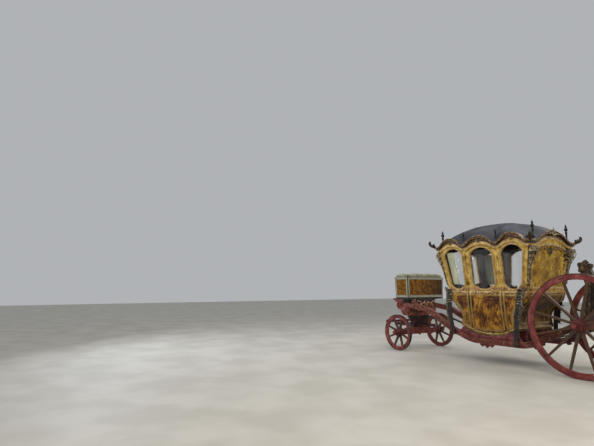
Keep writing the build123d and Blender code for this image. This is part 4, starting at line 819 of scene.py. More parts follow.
# %% Beads round the windows
def arc_points(start, mid, end, steps=16):
    """Points along the circle through three, by turning about its centre from the first to the last."""
    cx, cy, r = circle_through(start, mid, end)
    a0, a1, a2 = (math.atan2(y - cy, x - cx) for x, y in (start, mid, end))
    a1 = a0 + (a1 - a0 + math.pi) % (2 * math.pi) - math.pi
    a2 = a1 + (a2 - a1 + math.pi) % (2 * math.pi) - math.pi
    a = np.linspace(a0, a2, steps)
    return np.c_[cx + r * np.cos(a), cy + r * np.sin(a)]


def window_line(name, grow):
    """The window's outline moved outwards by a distance, as a closed row of points."""
    low0, low1, top0, top1, sill, spring, arch, bow = windows[name]
    mid_low, mid_top = (low0 + low1) / 2, (top0 + top1) / 2
    foot = arc_points((low0 - grow, sill - grow * 0.6), (mid_low, sill - bow - grow),
                      (low1 + grow, sill - grow * 0.6))
    head = arc_points((top1 + grow, spring + grow * 0.4), (mid_top, spring + arch + grow),
                      (top0 - grow, spring + grow * 0.4))
    rise = np.linspace(0, 1, 12)[1:-1, None]
    ahead = foot[-1] + rise * (head[0] - foot[-1])
    behind = head[-1] + rise * (foot[0] - head[-1])
    return np.concatenate([foot, ahead, head, behind])


windows = {
    # low edges, high edges, sill, springing, arch rise, bow drop
    "door": (-0.262, 0.262, -0.262, 0.262, 1.655, 2.29, 0.128, 0.11),
    "front": (0.478, 0.832, 0.478, 0.945, 1.655, 2.29, 0.14, 0.11),
    "rear": (-0.832, -0.478, -0.945, -0.478, 1.655, 2.29, 0.14, 0.11),
}
proud = 0.014
for name in windows:
    parts = [ridge(window_line(name, 0.007), 0.007, 0.009, lift=proud, loop=True),
             ridge(window_line(name, 0.029), 0.004, 0.005, lift=proud, loop=True)]
    both_sides("window_beads_" + name, parts, gilt_leaf, name == "door")
print("windows on each side", len(windows))

# %% [markdown]
# Between the windows the pillars carry drops of husks, one small leaf out of another. Under the sills the
# carver broke the line with pairs of scrolls. Half of each pair is on the door and half on the fixed panel,
# so that the door opens between them.

# %% Carving on the pillars and under the sills
def husk_drop(x, high, low, size=1.0, step=0.072):
    """A chain of leaves that hang one below another, each with a bead at its root."""
    parts = []
    for z in np.arange(high, low, -step * size):
        parts += leaf((x, z), -90, 0.08 * size, 0.017 * size, 0.012 * size, 0, 1, 10, 0, 8)
        parts.append(boss((x, z), 0.007 * size, 0.011 * size))
    return parts


def sill_group(x, way, size=1.0):
    """Carving under a sill: a C scroll that opens down, an S scroll that runs out of it, and five leaves."""
    parts = scroll((x, 1.515), 90 + way * 40, 0.30 * size, 0.015 * size, 0.022, way * -34, lift=0.004)
    parts += scroll((x - way * 0.085 * size, 1.462), way * 14, 0.26 * size, 0.011 * size, 0.016,
                    way * 32, kind="s", lift=0.004)
    for turn, long in ((-90, 0.085), (-90 + 38, 0.08), (-90 - 38, 0.08), (60, 0.07), (120, 0.07)):
        parts += leaf((x, 1.525), turn, long * size, 0.02 * size, 0.02, way * 0.5, 3, 14)
    return parts + [boss((x, 1.525), 0.015 * size, 0.024)]


sill_line = 1.432
door_parts = mirrored(sill_group(0.185, 1))
line = np.array([(-0.36, sill_line), (0.0, 1.426), (0.36, sill_line)])
door_parts.append(ridge(line, 0.0045, 0.009, lift=0.002))
wall_parts = []
for end in (1, -1):
    wall_parts += sill_group(end * 0.56, end, 0.8) + sill_group(end * 0.80, -end, 0.8)
    line = np.array([(end * 0.41, sill_line), (end * 0.56, 1.429), (end * 0.72, sill_line)])
    wall_parts.append(ridge(line, 0.0045, 0.009, lift=0.002))
sweep = smooth_run([(0.925, 1.61), (0.90, 1.53), (0.835, 1.465), (0.70, sill_line)], 26)
both_sides("door_sill_carving", door_parts, rose_leaf, True)
both_sides("sill_carving", wall_parts, rose_leaf)
both_sides("corner_sweeps", mirrored([ridge(sweep, 0.011, 0.018, lift=0.002)]), gilt_leaf)
both_sides("pillar_husks", husk_drop(0.425, 2.3, 1.66) + husk_drop(-0.425, 2.3, 1.66), gilt_moulding)
door_drops = husk_drop(0.338, 2.24, 1.68, 0.8) + husk_drop(-0.338, 2.24, 1.68, 0.8)
both_sides("door_husks", door_drops, gilt_moulding, True)
print("sill ornaments on a door", len(door_parts), "and beside it", len(wall_parts))

# %% [markdown]
# The lower panels. The painter's scrollwork on gold is laid as a skin of paint 2 mm thick: pairs of scrolls
# and leaves about each panel's middle line, dense at the belt and open near the foot. It is a plain
# arabesque of the usual kind, in the panel's own rust and gold.

# %% Painted scrollwork on the lower panels
panel_rust = finish("painted_scrollwork_rust", [(0.3, "3C1D08"), (0.5, "5C3410"), (0.7, "8A5A20")], 45,
                    (0.4, 0.56), 4, 0.2, Metallic=0.05, Specular_IOR_Level=0.25)


def arabesque(x, high, low, half, dense=1.0):
    """Pairs of scrolls about an upright axis, from a wide C at the top to an S at the foot, with leaves."""
    tall = high - low
    w, thick = 0.009 * dense, 0.0022
    parts = []
    for share, out, way, length, kind in (
        (0.08, 0.52, 8, 0.95, "c"), (0.24, 0.62, -70, 0.8, "s"), (0.42, 0.36, 70, 0.8, "c"),
        (0.55, 0.66, -60, 0.7, "c"), (0.70, 0.36, 120, 0.7, "s"), (0.86, 0.3, 20, 0.55, "c"),
    ):
        at = (x + out * half, high - share * tall)
        parts += scroll(at, way, length * half * 1.3, w, thick, 34 if kind == "c" else 30, 0, kind)
    for share, out, way, long in ((0.16, 0.2, -60, 0.5), (0.33, 0.25, -70, 0.5), (0.48, 0.5, -80, 0.5),
                                  (0.66, 0.25, -75, 0.5), (0.8, 0.5, -70, 0.4)):
        at = (x + out * half, high - share * tall)
        parts += leaf(at, way, long * half, 0.055 * half, thick * 1.1, 0.6, 3, 16)
    return mirrored(parts, x)


both_sides("door_paintwork", arabesque(0.0, 1.40, 0.72, 0.31, 1.1), panel_rust, True)
parts = []
for end in (1, -1):
    parts += arabesque(end * 0.62, 1.40, 1.06, 0.16, 0.8) + arabesque(end * 0.53, 1.04, 0.84, 0.085, 0.6)
both_sides("quarter_paintwork", parts, panel_rust)
print("painted ornaments on the quarters", len(parts))

# %% [markdown]
# The foot of the body is boat-shaped. A band of leaves runs outwards from the middle along it, and the
# S-shaped ends of the side panels are edged with a row of gilt beads between two fine lines.

# %% The foot band and the beaded edges
def keel_line(x):
    """Height of the foot at a distance from the middle: the circle through its ends and its lowest point."""
    reach, rise = 0.69, 0.215
    r = (reach**2 + rise**2) / (2 * rise)
    return keel_z + r - np.sqrt(r**2 - np.asarray(x) ** 2)


band = []
for x in np.arange(0.035, 0.62, 0.052):
    slope = math.degrees(math.atan2(float(keel_line(x + 0.01) - keel_line(x)), 0.01))
    band += leaf((x, float(keel_line(x)) + 0.058), slope + 6, 0.062, 0.017, 0.012, -0.3, 2, 12, 0, 8)
band = mirrored(band)
band += flower((0, keel_z + 0.06), 0.04, 0.016)
edges = []
z = np.arange(0.83, 1.40, 0.03)
for x, height in zip(half_length(z) - 0.074, z):
    edges.append(boss((x, height), 0.0125, 0.012, 4, 8, lift=0.002))
fine = np.linspace(0.82, 1.41, 26)
for inset in (0.052, 0.097):
    edges.append(ridge(np.c_[half_length(fine) - inset, fine], 0.0055, 0.009, around=6))
both_sides("foot_leaves", band, gilt_moulding)
both_sides("beaded_edges", mirrored(edges), gilt_leaf)
print("foot ornaments", len(band), "edge beads and lines", len(edges) * 2)

# %% [markdown]
# The rear wall is one wide trapezoid of gold. Leaves run up both edges to a bow of scrolls under the arch,
# and a smaller group stands on the rail. The front wall has the same group under its window.

# %% Carving on the end walls
rear_parts = []
for z in np.arange(1.60, 2.26, 0.085):
    out = float(half_width(z) - console_size(z)[0] - 0.03)
    rear_parts += leaf((out, z), 97, 0.1, 0.026, 0.02, -0.8, 3)
    rear_parts += leaf((out, z), 140, 0.07, 0.018, 0.016, 0.8, 2)
rear_parts += scroll((0.29, 2.36), 158, 0.52, 0.017, 0.022, 30, kind="s")
rear_parts += scroll((0.13, 2.33), 20, 0.3, 0.014, 0.02, -34)
rear_parts = mirrored(rear_parts)
for way, long in ((-90, 0.2), (-60, 0.16), (-120, 0.16), (-30, 0.13), (-150, 0.13)):
    rear_parts += leaf((0, 2.37), way, long, 0.035, 0.028, 0, 3)
rear_parts += flower((0, 2.37), 0.05, 0.034)
piece("rear_wall_carving", laid(rear_parts, on_end, -1), peak_gold, "carriage")
belt_group = mirrored(scroll((0.15, 1.46), 10, 0.42, 0.014, 0.02, 34)
                      + scroll((0.42, 1.47), -12, 0.36, 0.012, 0.018, 32, kind="s"))
for way in (90, 50, 130, -50, -130, -90):
    belt_group += leaf((0, 1.46), way, 0.13, 0.03, 0.024, 0, 3)
belt_group += flower((0, 1.46), 0.045, 0.03)
low_group = arabesque(0.0, 1.38, 0.9, 0.42, 1.3)
for name, ahead in (("front", 1), ("rear", -1)):
    piece(f"belt_carving_{name}", laid(belt_group, on_end, ahead), rose_leaf, "carriage")
    piece(f"end_paintwork_{name}", laid(low_group, on_end, ahead), panel_rust, "carriage")
upper_paint = arabesque(0.0, 2.24, 1.62, 0.5, 1.2)
panel_umber = finish("painted_scrollwork_umber", [(0.3, "7E581A"), (0.5, "987024"), (0.7, "AE8632")], 45,
                     (0.34, 0.5), 4, 0.2, Metallic=0.1)
piece("rear_wall_paintwork", laid(upper_paint, on_end, -1), panel_umber, "carriage")
print("rear wall ornaments", len(rear_parts), "belt ornaments", len(belt_group))

# %% [markdown]
# The coachman's seat is a box dressed in cloth: golden-brown velvet sides, broad silver braid along every
# edge and down every corner, and a stuffed grey-green top. The sides are one closed surface whose outline is
# a rounded rectangle, a little wider at the top, and whose panels are pulled in between the braids.

# %% The coachman's seat
def rounded_box(half_a, half_b, power=24.0, around=96):
    """A rounded rectangle as a superellipse: |a|^p + |b|^p = 1, read by angle."""
    turn = np.linspace(0, 2 * np.pi, around, endpoint=False)
    c, s = np.cos(turn), np.sin(turn)
    r = (np.abs(c) ** power + np.abs(s) ** power) ** (-1 / power)
    return np.c_[half_a * r * c, half_b * r * s]


def stacked(levels, power=24.0, around=96, relief=1.0):
    """A closed skin over (height, half length, half width) levels about the seat's middle."""
    rings = []
    for z, a, b in levels:
        plan = rounded_box(a, b, power, around)
        rings.append(np.c_[seat_x + plan[:, 0], plan[:, 1], np.full(around, z)])
    points = np.concatenate(rings)
    return points, ring_faces(len(levels), around), np.full(len(points), relief)


seat_low, seat_high = 1.3123, 1.85
sides = [(seat_low, 1e-4, 1e-4), (seat_low, 0.205, 0.65), (seat_low + 0.005, 0.212, 0.657)]
for t in np.linspace(0, 1, 14):
    pull = 0.003 * math.sin(math.pi * t) ** 2
    sides.append((seat_low + 0.01 + t * 0.50, 0.213 + 0.012 * t - pull, 0.658 + 0.012 * t - pull))
sides += [(seat_high - 0.012, 0.2, 0.645), (seat_high - 0.012, 1e-4, 1e-4)]
seat_sides = piece("seat_velvet", [stacked(sides)], velvet, "carriage")
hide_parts("coachman_seat")
top = [(seat_high - 0.012, 1e-4, 1e-4), (seat_high - 0.014, 0.21, 0.655), (seat_high - 0.008, 0.222, 0.667),
       (seat_high + 0.012, 0.226, 0.671), (seat_high + 0.028, 0.22, 0.66)]
for t in np.linspace(0.08, 1, 12):
    top.append((seat_high + 0.028 + 0.062 * math.sin(t * math.pi / 2), 0.22 * (1 - t**3.0) + 1e-4,
                0.66 * (1 - 0.16 * t - 0.84 * t**3.2) + 1e-4))
seat_top = piece("seat_top", [stacked(top, 12.0)], canvas, "carriage")
print("seat made")

# %% [markdown]
# Braid is a flat woven ribbon with a raised edge on each side. It runs round the seat at the foot and under
# the top, and down both faces of each corner, where a black leather cord fills the edge between.

# %% Braid on the seat
def braid_ring(z_low, z_high, a, b, stand=0.004):
    """A band round the seat: out, up with two raised edges, and back in."""
    tall = z_high - z_low
    rows = [(0.0, 0.0), (0.02, 1.0), (0.1, 1.35), (0.2, 0.9), (0.5, 1.0), (0.8, 0.9), (0.9, 1.35),
            (0.98, 1.0), (1.0, 0.0)]
    levels = [(z_low + tall * t, a + stand * h, b + stand * h) for t, h in rows]
    levels = [(z_low, a - 0.01, b - 0.01)] + levels + [(z, a - 0.01, b - 0.01) for z in (z_high, z_low)]
    return stacked(levels)


seat_braid = [braid_ring(seat_low + 0.004, seat_low + 0.06, 0.2145, 0.6595),
              braid_ring(seat_high - 0.075, seat_high - 0.02, 0.2245, 0.6695)]
section = ((-1, 0.0), (-0.96, 0.006), (-0.8, 0.008), (0.8, 0.008), (0.96, 0.006), (1, 0.0), (0, -0.02))
for sx, sy in four_corners:
    z = np.linspace(seat_low + 0.05, seat_high - 0.06, 12)
    grow = 0.010 + 0.012 * (z - seat_low) / 0.5
    for on_end in (True, False):
        ring = []
        for u, h in section:
            inset = 0.034 + 0.022 * u
            x = seat_x + sx * (0.2145 + grow - 0.01 + (h if on_end else -inset))
            y = sy * (0.6595 + grow - 0.01 + (-inset if on_end else h))
            ring.append(np.c_[x + 0 * z, y + 0 * z, z])
        points = np.stack(ring, axis=1).reshape(-1, 3)
        seat_braid.append((points, ring_faces(12, 7), np.ones(len(points))))
piece("seat_braid", seat_braid, braid, "carriage")
corner_cords = []
for sx, sy in four_corners:
    run = np.array([(seat_x + sx * 0.205, sy * 0.653, seat_low + 0.01),
                    (seat_x + sx * 0.2135, sy * 0.661, seat_low + 0.27),
                    (seat_x + sx * 0.2185, sy * 0.6665, seat_high - 0.02)])
    corner_cords.append(tube(run, 0.0085, (0.0, 1.0, 0.0)))
piece("seat_corner_cords", corner_cords, strap_leather, "carriage")
print("braid bands", len(seat_braid), "corner cords", len(corner_cords))

# %% [markdown]
# The roof is leather stretched over boards, blackened once and faded to slate. It has no sharp hips: the top
# is one soft dome, a blend of a lengthwise and a crosswise arch. Its edge dips and rises with the cornice, as
# wet leather does when it is pulled down and nailed. Near the edge the height passes from the dome to the
# wave along a quarter of a circle.

# %% The leather roof
crown_z, edge_x, edge_y = 2.984, 1.166, 0.868


def edge_height(x, y):
    """Height of the cornice's top where a ray from the middle through (x, y) leaves the roof."""
    line_x, line_y = side_wave(1.0, 1.2), end_wave(1.0, 0.9)
    on_long = np.abs(x) / edge_x < np.abs(y) / edge_y
    share = np.maximum(np.abs(x) / edge_x, np.abs(y) / edge_y) + 1e-9
    side = np.interp(x / share, line_x[:, 0], line_x[:, 1])
    end = np.interp(y / share, line_y[:, 0], line_y[:, 1])
    return np.where(on_long, side, end)


def roof_height(x, y, sink=0.0):
    """Crown minus a fourth-power blend of both arches, turned down to the wave over the last fifth."""
    share = np.maximum(np.abs(x) / edge_x, np.abs(y) / edge_y)
    dome = crown_z - sink - 0.235 * np.sqrt((np.abs(x) / 1.005) ** 4 + (np.abs(y) / 0.707) ** 4)
    k = 1 - np.sqrt(np.clip(1 - np.clip((share - 0.8) / 0.2, 0, 1) ** 2, 0, 1))
    pull = np.clip((share - 0.35) / 0.5, 0, 1)
    dome = dome + (edge_height(x, y) - 2.63) * 0.42 * pull**2 * (3 - 2 * pull)
    return dome * (1 - k) + (edge_height(x, y) + 0.006 - sink * 0.2) * k


def roof_rings(sink, shares, around=240):
    """Rings from the middle out to the eave, each a rounded rectangle that grows squarer outwards."""
    turn = np.linspace(0, 2 * np.pi, around, endpoint=False)
    c, s = np.cos(turn), np.sin(turn)
    rings = []
    for share in shares:
        power = 2.2 + 16 * share**6
        r = (np.abs(c) ** power + np.abs(s) ** power) ** (-1 / power)
        x, y = share * edge_x * r * c, share * edge_y * r * s
        rings.append(np.c_[body_x + x, y, roof_height(x, y, sink)])
    return rings


shares = np.r_[1e-4, np.linspace(0.06, 0.78, 13), np.linspace(0.81, 0.97, 9), 0.985, 0.995, 1.0]
top_rings = roof_rings(0.0, shares)
lip = top_rings[-1] + np.array([0, 0, -0.012])
under = roof_rings(0.03, shares * 0.985)[::-1]
rings = np.concatenate(top_rings + [lip] + under)
cover = (rings, ring_faces(len(shares) * 2 + 1, 240), np.ones(len(rings)))
roof_cover = piece("roof_cover", [cover], roof_leather, "carriage")
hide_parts("roof")
seams = []
for x in (-0.4, 0.4):
    y = np.linspace(-0.84, 0.84, 80)
    row = np.c_[body_x + x + 0 * y, y, roof_height(x + 0 * y, y)]
    turn = np.linspace(0, 2 * np.pi, 6, endpoint=False)
    off = np.stack([0.007 * np.cos(turn), 0 * turn, 0.005 * np.sin(turn)], axis=-1)
    points = (row[:, None] + off[None]).reshape(-1, 3)
    seams.append((points, ring_faces(80, 6), np.ones(len(points))))
piece("roof_seams", seams, roof_leather, "carriage")
nails = []
for sign in (1, -1):
    for path, axis, at in ((side_wave(0.985, 1.12), "y", edge_y), (end_wave(0.985, 0.82), "x", edge_x)):
        run = np.r_[0, np.cumsum(np.linalg.norm(np.diff(path, axis=0), axis=1))]
        d = np.arange(0.02, run[-1], 0.045)
        for a, b in zip(np.interp(d, run, path[:, 0]), np.interp(d, run, path[:, 1])):
            nails += laid([boss((a, b + 0.003), 0.0065, 0.005, 3, 6)], plain, axis, at - 0.001, sign)
piece("roof_nails", nails, brass, "carriage")
print("roof nails", len(nails))

# %% [markdown]
# Turned feet carry the iron finials, and a carved horn curls up from each corner of the eave. The horn is a
# tapering tube in an upright plane that points outwards, and a few leaves hide where it springs.

# %% Finial feet and the eave horns
def turned(profile, x, y, z, around=20):
    """A turned form: (radius, height) pairs swung about an upright line."""
    turn = np.linspace(0, 2 * np.pi, around, endpoint=False)
    rings = [np.c_[x + r * np.cos(turn), y + r * np.sin(turn), np.full(around, z + h)] for r, h in profile]
    return np.concatenate(rings), ring_faces(len(profile), around), np.ones(around * len(profile))


feet, horns, horn_leaves = [], [], []
for sx, sy in four_corners:
    for dx, dy, z, size in ((1.09, 0.63, 2.71, 1.0), (0.39, 0.796, 2.668, 0.7)):
        low = float(roof_height(np.array(dx), np.array(dy))) - z - 0.012
        profile = [(1e-5, low), (0.04, low), (0.036, low + 0.012), (0.02, low + 0.03), (0.018, -0.02),
                   (0.026, -0.008), (0.026, 0.0), (1e-5, 0.0)]
        feet.append(turned([(r * size, h) for r, h in profile], body_x + sx * dx, sy * dy, z, 14))
    turn = math.radians(58)
    out = np.array([sx * math.cos(turn), sy * math.sin(turn), 0.0])
    side = np.array([-out[1], out[0], 0.0])
    root = np.array([body_x + sx * edge_x, sy * edge_y, 0.0])
    flat_run = [(-0.05, 2.515), (0.0, 2.52), (0.045, 2.53), (0.082, 2.56), (0.094, 2.60), (0.088, 2.622),
                (0.074, 2.618), (0.072, 2.604)]
    run = smooth_run([root + out * r + np.array([0, 0, z]) for r, z in flat_run], 6)
    share = np.linspace(0, 1, len(run))
    radii = np.interp(share, [0, 0.1, 0.5, 0.85, 1], [0.001, 0.036, 0.03, 0.014, 0.001])
    horns.append(tube(run, radii, side, 12, 1.2))
    for lean in (-0.9, -0.4, 0.4, 0.9):
        start = root - out * 0.03 + side * lean * 0.04 + np.array([0, 0, 2.52])
        horn_leaves.append(frond(start, out + side * lean * 0.6, (0.0, 0.0, 1.0), 0.10, 0.03, 3.0, 0.008))
piece("finial_feet", feet, black_iron, "carriage")
piece("eave_horns", horns, carved_wood, "carriage")
piece("eave_horn_leaves", horn_leaves, carved_wood, "carriage")
print("feet", len(feet), "horns", len(horns), "leaves", len(horn_leaves))

# %% [markdown]
# Inside, each bench has a stuffed cushion and a back pad of crimson silk velvet. A cushion starts as a
# rounded box a little smaller than its place. Cloth with air pressure in it then swells it, as stuffing does,
# and no point may travel more than 16 mm, so that it stays in the space that the CAD solid holds.

# %% Stuffed cushions
def stuffed(name, low, high, cap=0.016, shrink=0.012, voxel=0.016):
    """A closed box, remeshed, swollen by cloth pressure for 20 frames, capped and made smooth."""
    low, high = np.array(low) + shrink, np.array(high) - shrink
    mesh = bpy.data.meshes.new(name)
    made = bmesh.new()
    bmesh.ops.create_cube(made, size=1.0)
    for v in made.verts:
        v.co = [float(l + (c + 0.5) * (h - l)) for c, l, h in zip(v.co, low, high)]
    edge = float(min(high - low) * 0.22)
    bmesh.ops.bevel(made, geom=made.edges[:], offset=edge, segments=3, affect="EDGES")
    made.to_mesh(mesh)
    made.free()
    obj = bpy.data.objects.new(name, mesh)
    scene.collection.objects.link(obj)
    remesh = obj.modifiers.new("remesh", "REMESH")
    remesh.mode, remesh.voxel_size = "VOXEL", voxel
    graph = bpy.context.evaluated_depsgraph_get()
    start = bpy.data.meshes.new_from_object(obj.evaluated_get(graph))
    obj.modifiers.clear()
    obj.data = start
    rest = np.empty(len(start.vertices) * 3)
    start.vertices.foreach_get("co", rest)
    cloth = obj.modifiers.new("cloth", "CLOTH")
    cloth.settings.use_pressure = True
    cloth.settings.uniform_pressure_force = 4.0
    cloth.settings.effector_weights.gravity = 0.0
    for number in range(1, 21):
        scene.frame_set(number)
    graph = bpy.context.evaluated_depsgraph_get()
    swollen = bpy.data.meshes.new_from_object(obj.evaluated_get(graph))
    moved = np.empty(len(swollen.vertices) * 3)
    swollen.vertices.foreach_get("co", moved)
    step = (moved - rest).reshape(-1, 3)
    far = np.linalg.norm(step, axis=1, keepdims=True) + 1e-12
    step *= np.minimum(1, cap / far)
    obj.modifiers.clear()
    obj.data = swollen
    swollen.vertices.foreach_set("co", (rest.reshape(-1, 3) + step).ravel())
    scene.frame_set(1)
    obj.data.polygons.foreach_set("use_smooth", np.ones(len(obj.data.polygons), bool))
    smooth = obj.modifiers.new("smooth", "SUBSURF")
    smooth.levels = smooth.render_levels = 1
    obj.data.materials.clear()
    obj.data.materials.append(crimson)
    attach(obj, "carriage")
    return obj


for name, sign in (("front", 1), ("rear", -1)):
    x0, x1 = sorted((body_x + sign * 0.40, body_x + sign * 0.80))
    stuffed("cushion_" + name, (x0, -0.585, 1.186), (x1, 0.585, 1.292))
    x0, x1 = sorted((body_x + sign * 0.815, body_x + sign * 0.885))
    stuffed("back_pad_" + name, (x0, -0.585, 1.302), (x1, 0.585, 1.575), 0.012, 0.008)
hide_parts("seat_cushions")
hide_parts("seat_backs")
inner = roof_rings(0.03, shares[:-7] * 0.93)
skins = [ring - (0, 0, 0.045) for ring in inner] + [ring - (0, 0, 0.055) for ring in inner[::-1]]
ceiling = (np.concatenate(skins), ring_faces(len(skins), 240), np.ones(240 * len(skins)))
piece("ceiling_lining", [ceiling], crimson, "carriage")

# %% [markdown]
# The perches are carved along their outer faces: running leaves on the rise behind and in front of the body,
# and a volute on each head. The perch bends in two directions, so the carving is laid by two rules: its
# height follows the timber's middle line, and its stand-off follows the timber's plan.

# %% Carved perches
def rounded_run(points, radii, steps=8):
    """A run of straight stretches whose corners are arcs of the given radii."""
    p = np.asarray(points, float)
    out = [p[:1]]
    for a, b, c, r in zip(p, p[1:], p[2:], radii):
        u, v = (a - b) / np.linalg.norm(a - b), (c - b) / np.linalg.norm(c - b)
        half = math.acos(float(np.clip(u @ v, -1, 1))) / 2
        back = min(r / math.tan(half), 0.49 * np.linalg.norm(a - b), 0.49 * np.linalg.norm(c - b))
        t = np.linspace(0, 1, steps)[:, None]
        out.append((1 - t) ** 2 * (b + u * back) + 2 * t * (1 - t) * b + t**2 * (b + v * back))
    return np.concatenate(out + [p[-1:]])


perch_run = rounded_run([(axle_x["rear"] + 0.065, 0.87), (axle_x["rear"] + 0.23, 0.87), (body_x - 0.86, 0.45),
                         (body_x + 0.38, 0.45), (body_x + 1.4, 0.82), (body_x + 1.8, 1.032),
                         (axle_x["front"] - 0.06, 1.122), (axle_x["front"] + 0.21, 1.092)],
                        [0.18, 0.5, 0.7, 0.6, 0.5, 0.4])


def perch_z(x):
    """Height of the perch's middle line."""
    return np.interp(x, perch_run[:, 0], perch_run[:, 1])


def perch_y(x):
    """Distance of the perch's middle line from the coach's."""
    steps = [axle_x["rear"] + 0.33, body_x - 0.8, body_x + 0.9, body_x + 1.56]
    return np.interp(x, steps, [0.43, 0.65, 0.65, 0.43])


def on_perch(points, sign):
    """(ahead, above the middle line, proud) points laid on the outer face of a perch."""
    a, b, h = np.asarray(points).T
    return np.c_[a, sign * (perch_y(a) + 0.045 + h), perch_z(a) + b]


def on_perch_top(points, sign):
    """(ahead, across, proud) points laid on the top of a perch."""
    a, b, h = np.asarray(points).T
    return np.c_[a, sign * (perch_y(a) + b), perch_z(a) + 0.058 + h]


vermilion = finish("vermilion_worn_paint", [(0.3, "54201A"), (0.5, "83372A"), (0.7, "A8634A")], 60,
                   (0.4, 0.6), 6, 0.6, in_hollows("2E120D", 0.05, 0.8), Specular_IOR_Level=0.25)
perch_leaf = finish("perch_carving_red_and_gold", [(0.32, "5A2622"), (0.5, "7F4A34"), (0.68, "A8875A")], 50,
                    (0.4, 0.6), 6, 0.6, in_hollows("2E120D", 0.1, 0.85), Metallic=0.1,
                    Specular_IOR_Level=0.25)
running = []
for low, high, size in ((axle_x["rear"] + 0.42, body_x - 0.95, 1.0), (body_x - 0.7, body_x + 0.6, 0.7),
                        (body_x + 0.95, axle_x["front"] - 0.2, 1.05)):
    for k, x in enumerate(np.arange(low, high, 0.13 * size)):
        way = 1 if k % 2 else -1
        running += leaf((x, way * 0.006), way * 22, 0.15 * size, 0.03 * size, 0.02 * size, -way * 1.6, 3)
        start = (x + 0.06 * size, -way * 0.022)
        running += scroll(start, -way * 12, 0.13 * size, 0.007, 0.014 * size, way * 30)
for edge in (0.052, -0.052):
    line = np.linspace(axle_x["rear"] + 0.36, axle_x["front"] + 0.05, 90)
    running.append(ridge(np.c_[line, np.full(90, edge)], 0.006, 0.009, around=6))
eye = np.array([axle_x["front"] + 0.21, 1.114])
s = np.linspace(0, 1, 90)
taper = 0.0135 * (1 - 0.3 * s) * np.minimum(1, np.minimum(s, 1 - s) * 20)
curl = [ridge(spiral(eye, 0.1, 0.034, 2.2, 2.6, 90), taper, 0.014)]
bead = [boss(eye, 0.029, 0.02, 6, 14)]
heads = []
for sign in (1, -1):
    heads += laid(curl, upright, "y", sign * 0.481, sign) + laid(bead, upright, "y", sign * 0.479, sign)
for name, sign in hands.items():
    piece(f"perch_carving_{name}", laid(running, on_perch, sign), perch_leaf, "carriage")
piece("perch_head_volutes", heads, vermilion, "carriage")
crown_leaves = []
for k, x in enumerate(np.arange(axle_x["rear"] + 0.40, axle_x["front"] + 0.1, 0.07)):
    if not body_x - 0.62 < x < body_x + 0.62:
        crown_leaves += leaf((x, 0.0), 32, 0.095, 0.017, 0.012, 0.9, 2, 12, 0, 8)
        crown_leaves += leaf((x, 0.0), -32, 0.095, 0.017, 0.012, -0.9, 2, 12, 0, 8)
crown_leaves = laid(crown_leaves, on_perch_top, 1) + laid(crown_leaves, on_perch_top, -1)
x = np.linspace(-0.74, 0.74, 130)
under = perch_z(body_x + x) + 0.04
over = np.minimum(keel_line(np.clip(x, -0.68, 0.68)) + 0.022, 0.73)
lobed = 0.9 + 0.1 * np.abs(np.sin(x * 52))
over = under + (over - under) * np.minimum(1, (0.741 - np.abs(x)) / 0.12) * lobed
turn = np.linspace(0, 2 * np.pi, 12, endpoint=False)
up = 0.5 + 0.5 * np.sin(turn)
off = 0.648 + 0.018 * np.sign(np.cos(turn)) * np.abs(np.cos(turn)) ** 0.5
high = under[:, None] + (over - under)[:, None] * up
ahead = np.broadcast_to((body_x + x)[:, None], high.shape)
relief = np.broadcast_to(0.3 + 0.5 * np.abs(np.sin(x * 52))[:, None], high.shape)
crest_leaves = []
for a in np.arange(-0.60, 0.61, 0.06):
    start = (body_x + a, float(perch_z(body_x + a)) + 0.05)
    crest_leaves += leaf(start, 90 - 40 * math.copysign(1, a), 0.075, 0.018, 0.014, 0.5, 2, 12, 0, 8)
crest_parts = []
for sign in (1, -1):
    points = np.stack([ahead, np.broadcast_to(sign * off, high.shape), high], axis=-1)
    crest_parts.append((points.reshape(-1, 3), ring_faces(130, 12), relief.reshape(-1)))
    crest_parts += laid(crest_leaves, upright, "y", sign * 0.664, sign)
piece("perch_cresting", crest_parts, madder_carved, "carriage")
shackles = []
for sign in (1, -1):
    link = np.array([(1.506, sign * 0.322, 0.80), (1.506, sign * 0.334, 0.87), (1.506, sign * 0.362, 0.93),
                     (1.506, sign * 0.398, 0.975)])
    shackles.append(tube(smooth_run(link, 6), 0.013, (1.0, 0.0, 0.0)))
    pin = np.array([(1.504, sign * 0.276, 0.815), (1.504, sign * 0.362, 0.815)])
    shackles.append(tube(pin, 0.017, (1.0, 0.0, 0.0)))
piece("brace_shackles", shackles, black_iron, "carriage")
piece("perch_crown_leaves", crown_leaves, perch_leaf, "carriage")
print("ornaments on a perch", len(running), "leaves on top of both", len(crown_leaves))

# %% [markdown]
# Iron goes on last. Each nave is hooped where the spokes press on it and at its mouth, and flat iron plates
# with two bolts hold the felloes together over their joints.

# %% Hoops and felloe plates
def hoop(x, y, z, radius, width, thick, around=40):
    """A flat iron ring about a line across the coach: a four-sided section carried round a circle."""
    turn = np.linspace(0, 2 * np.pi, around + 1)
    bore, half = radius - thick, width / 2
    section = [(bore, -half), (radius, -half), (radius, half), (bore, half)]
    rings = [np.c_[x + r * np.cos(turn), 0 * turn + y + off, z + r * np.sin(turn)] for r, off in section]
    points = np.stack(rings, axis=1).reshape(-1, 3)
    return points, ring_faces(around + 1, 4), np.ones(len(points))


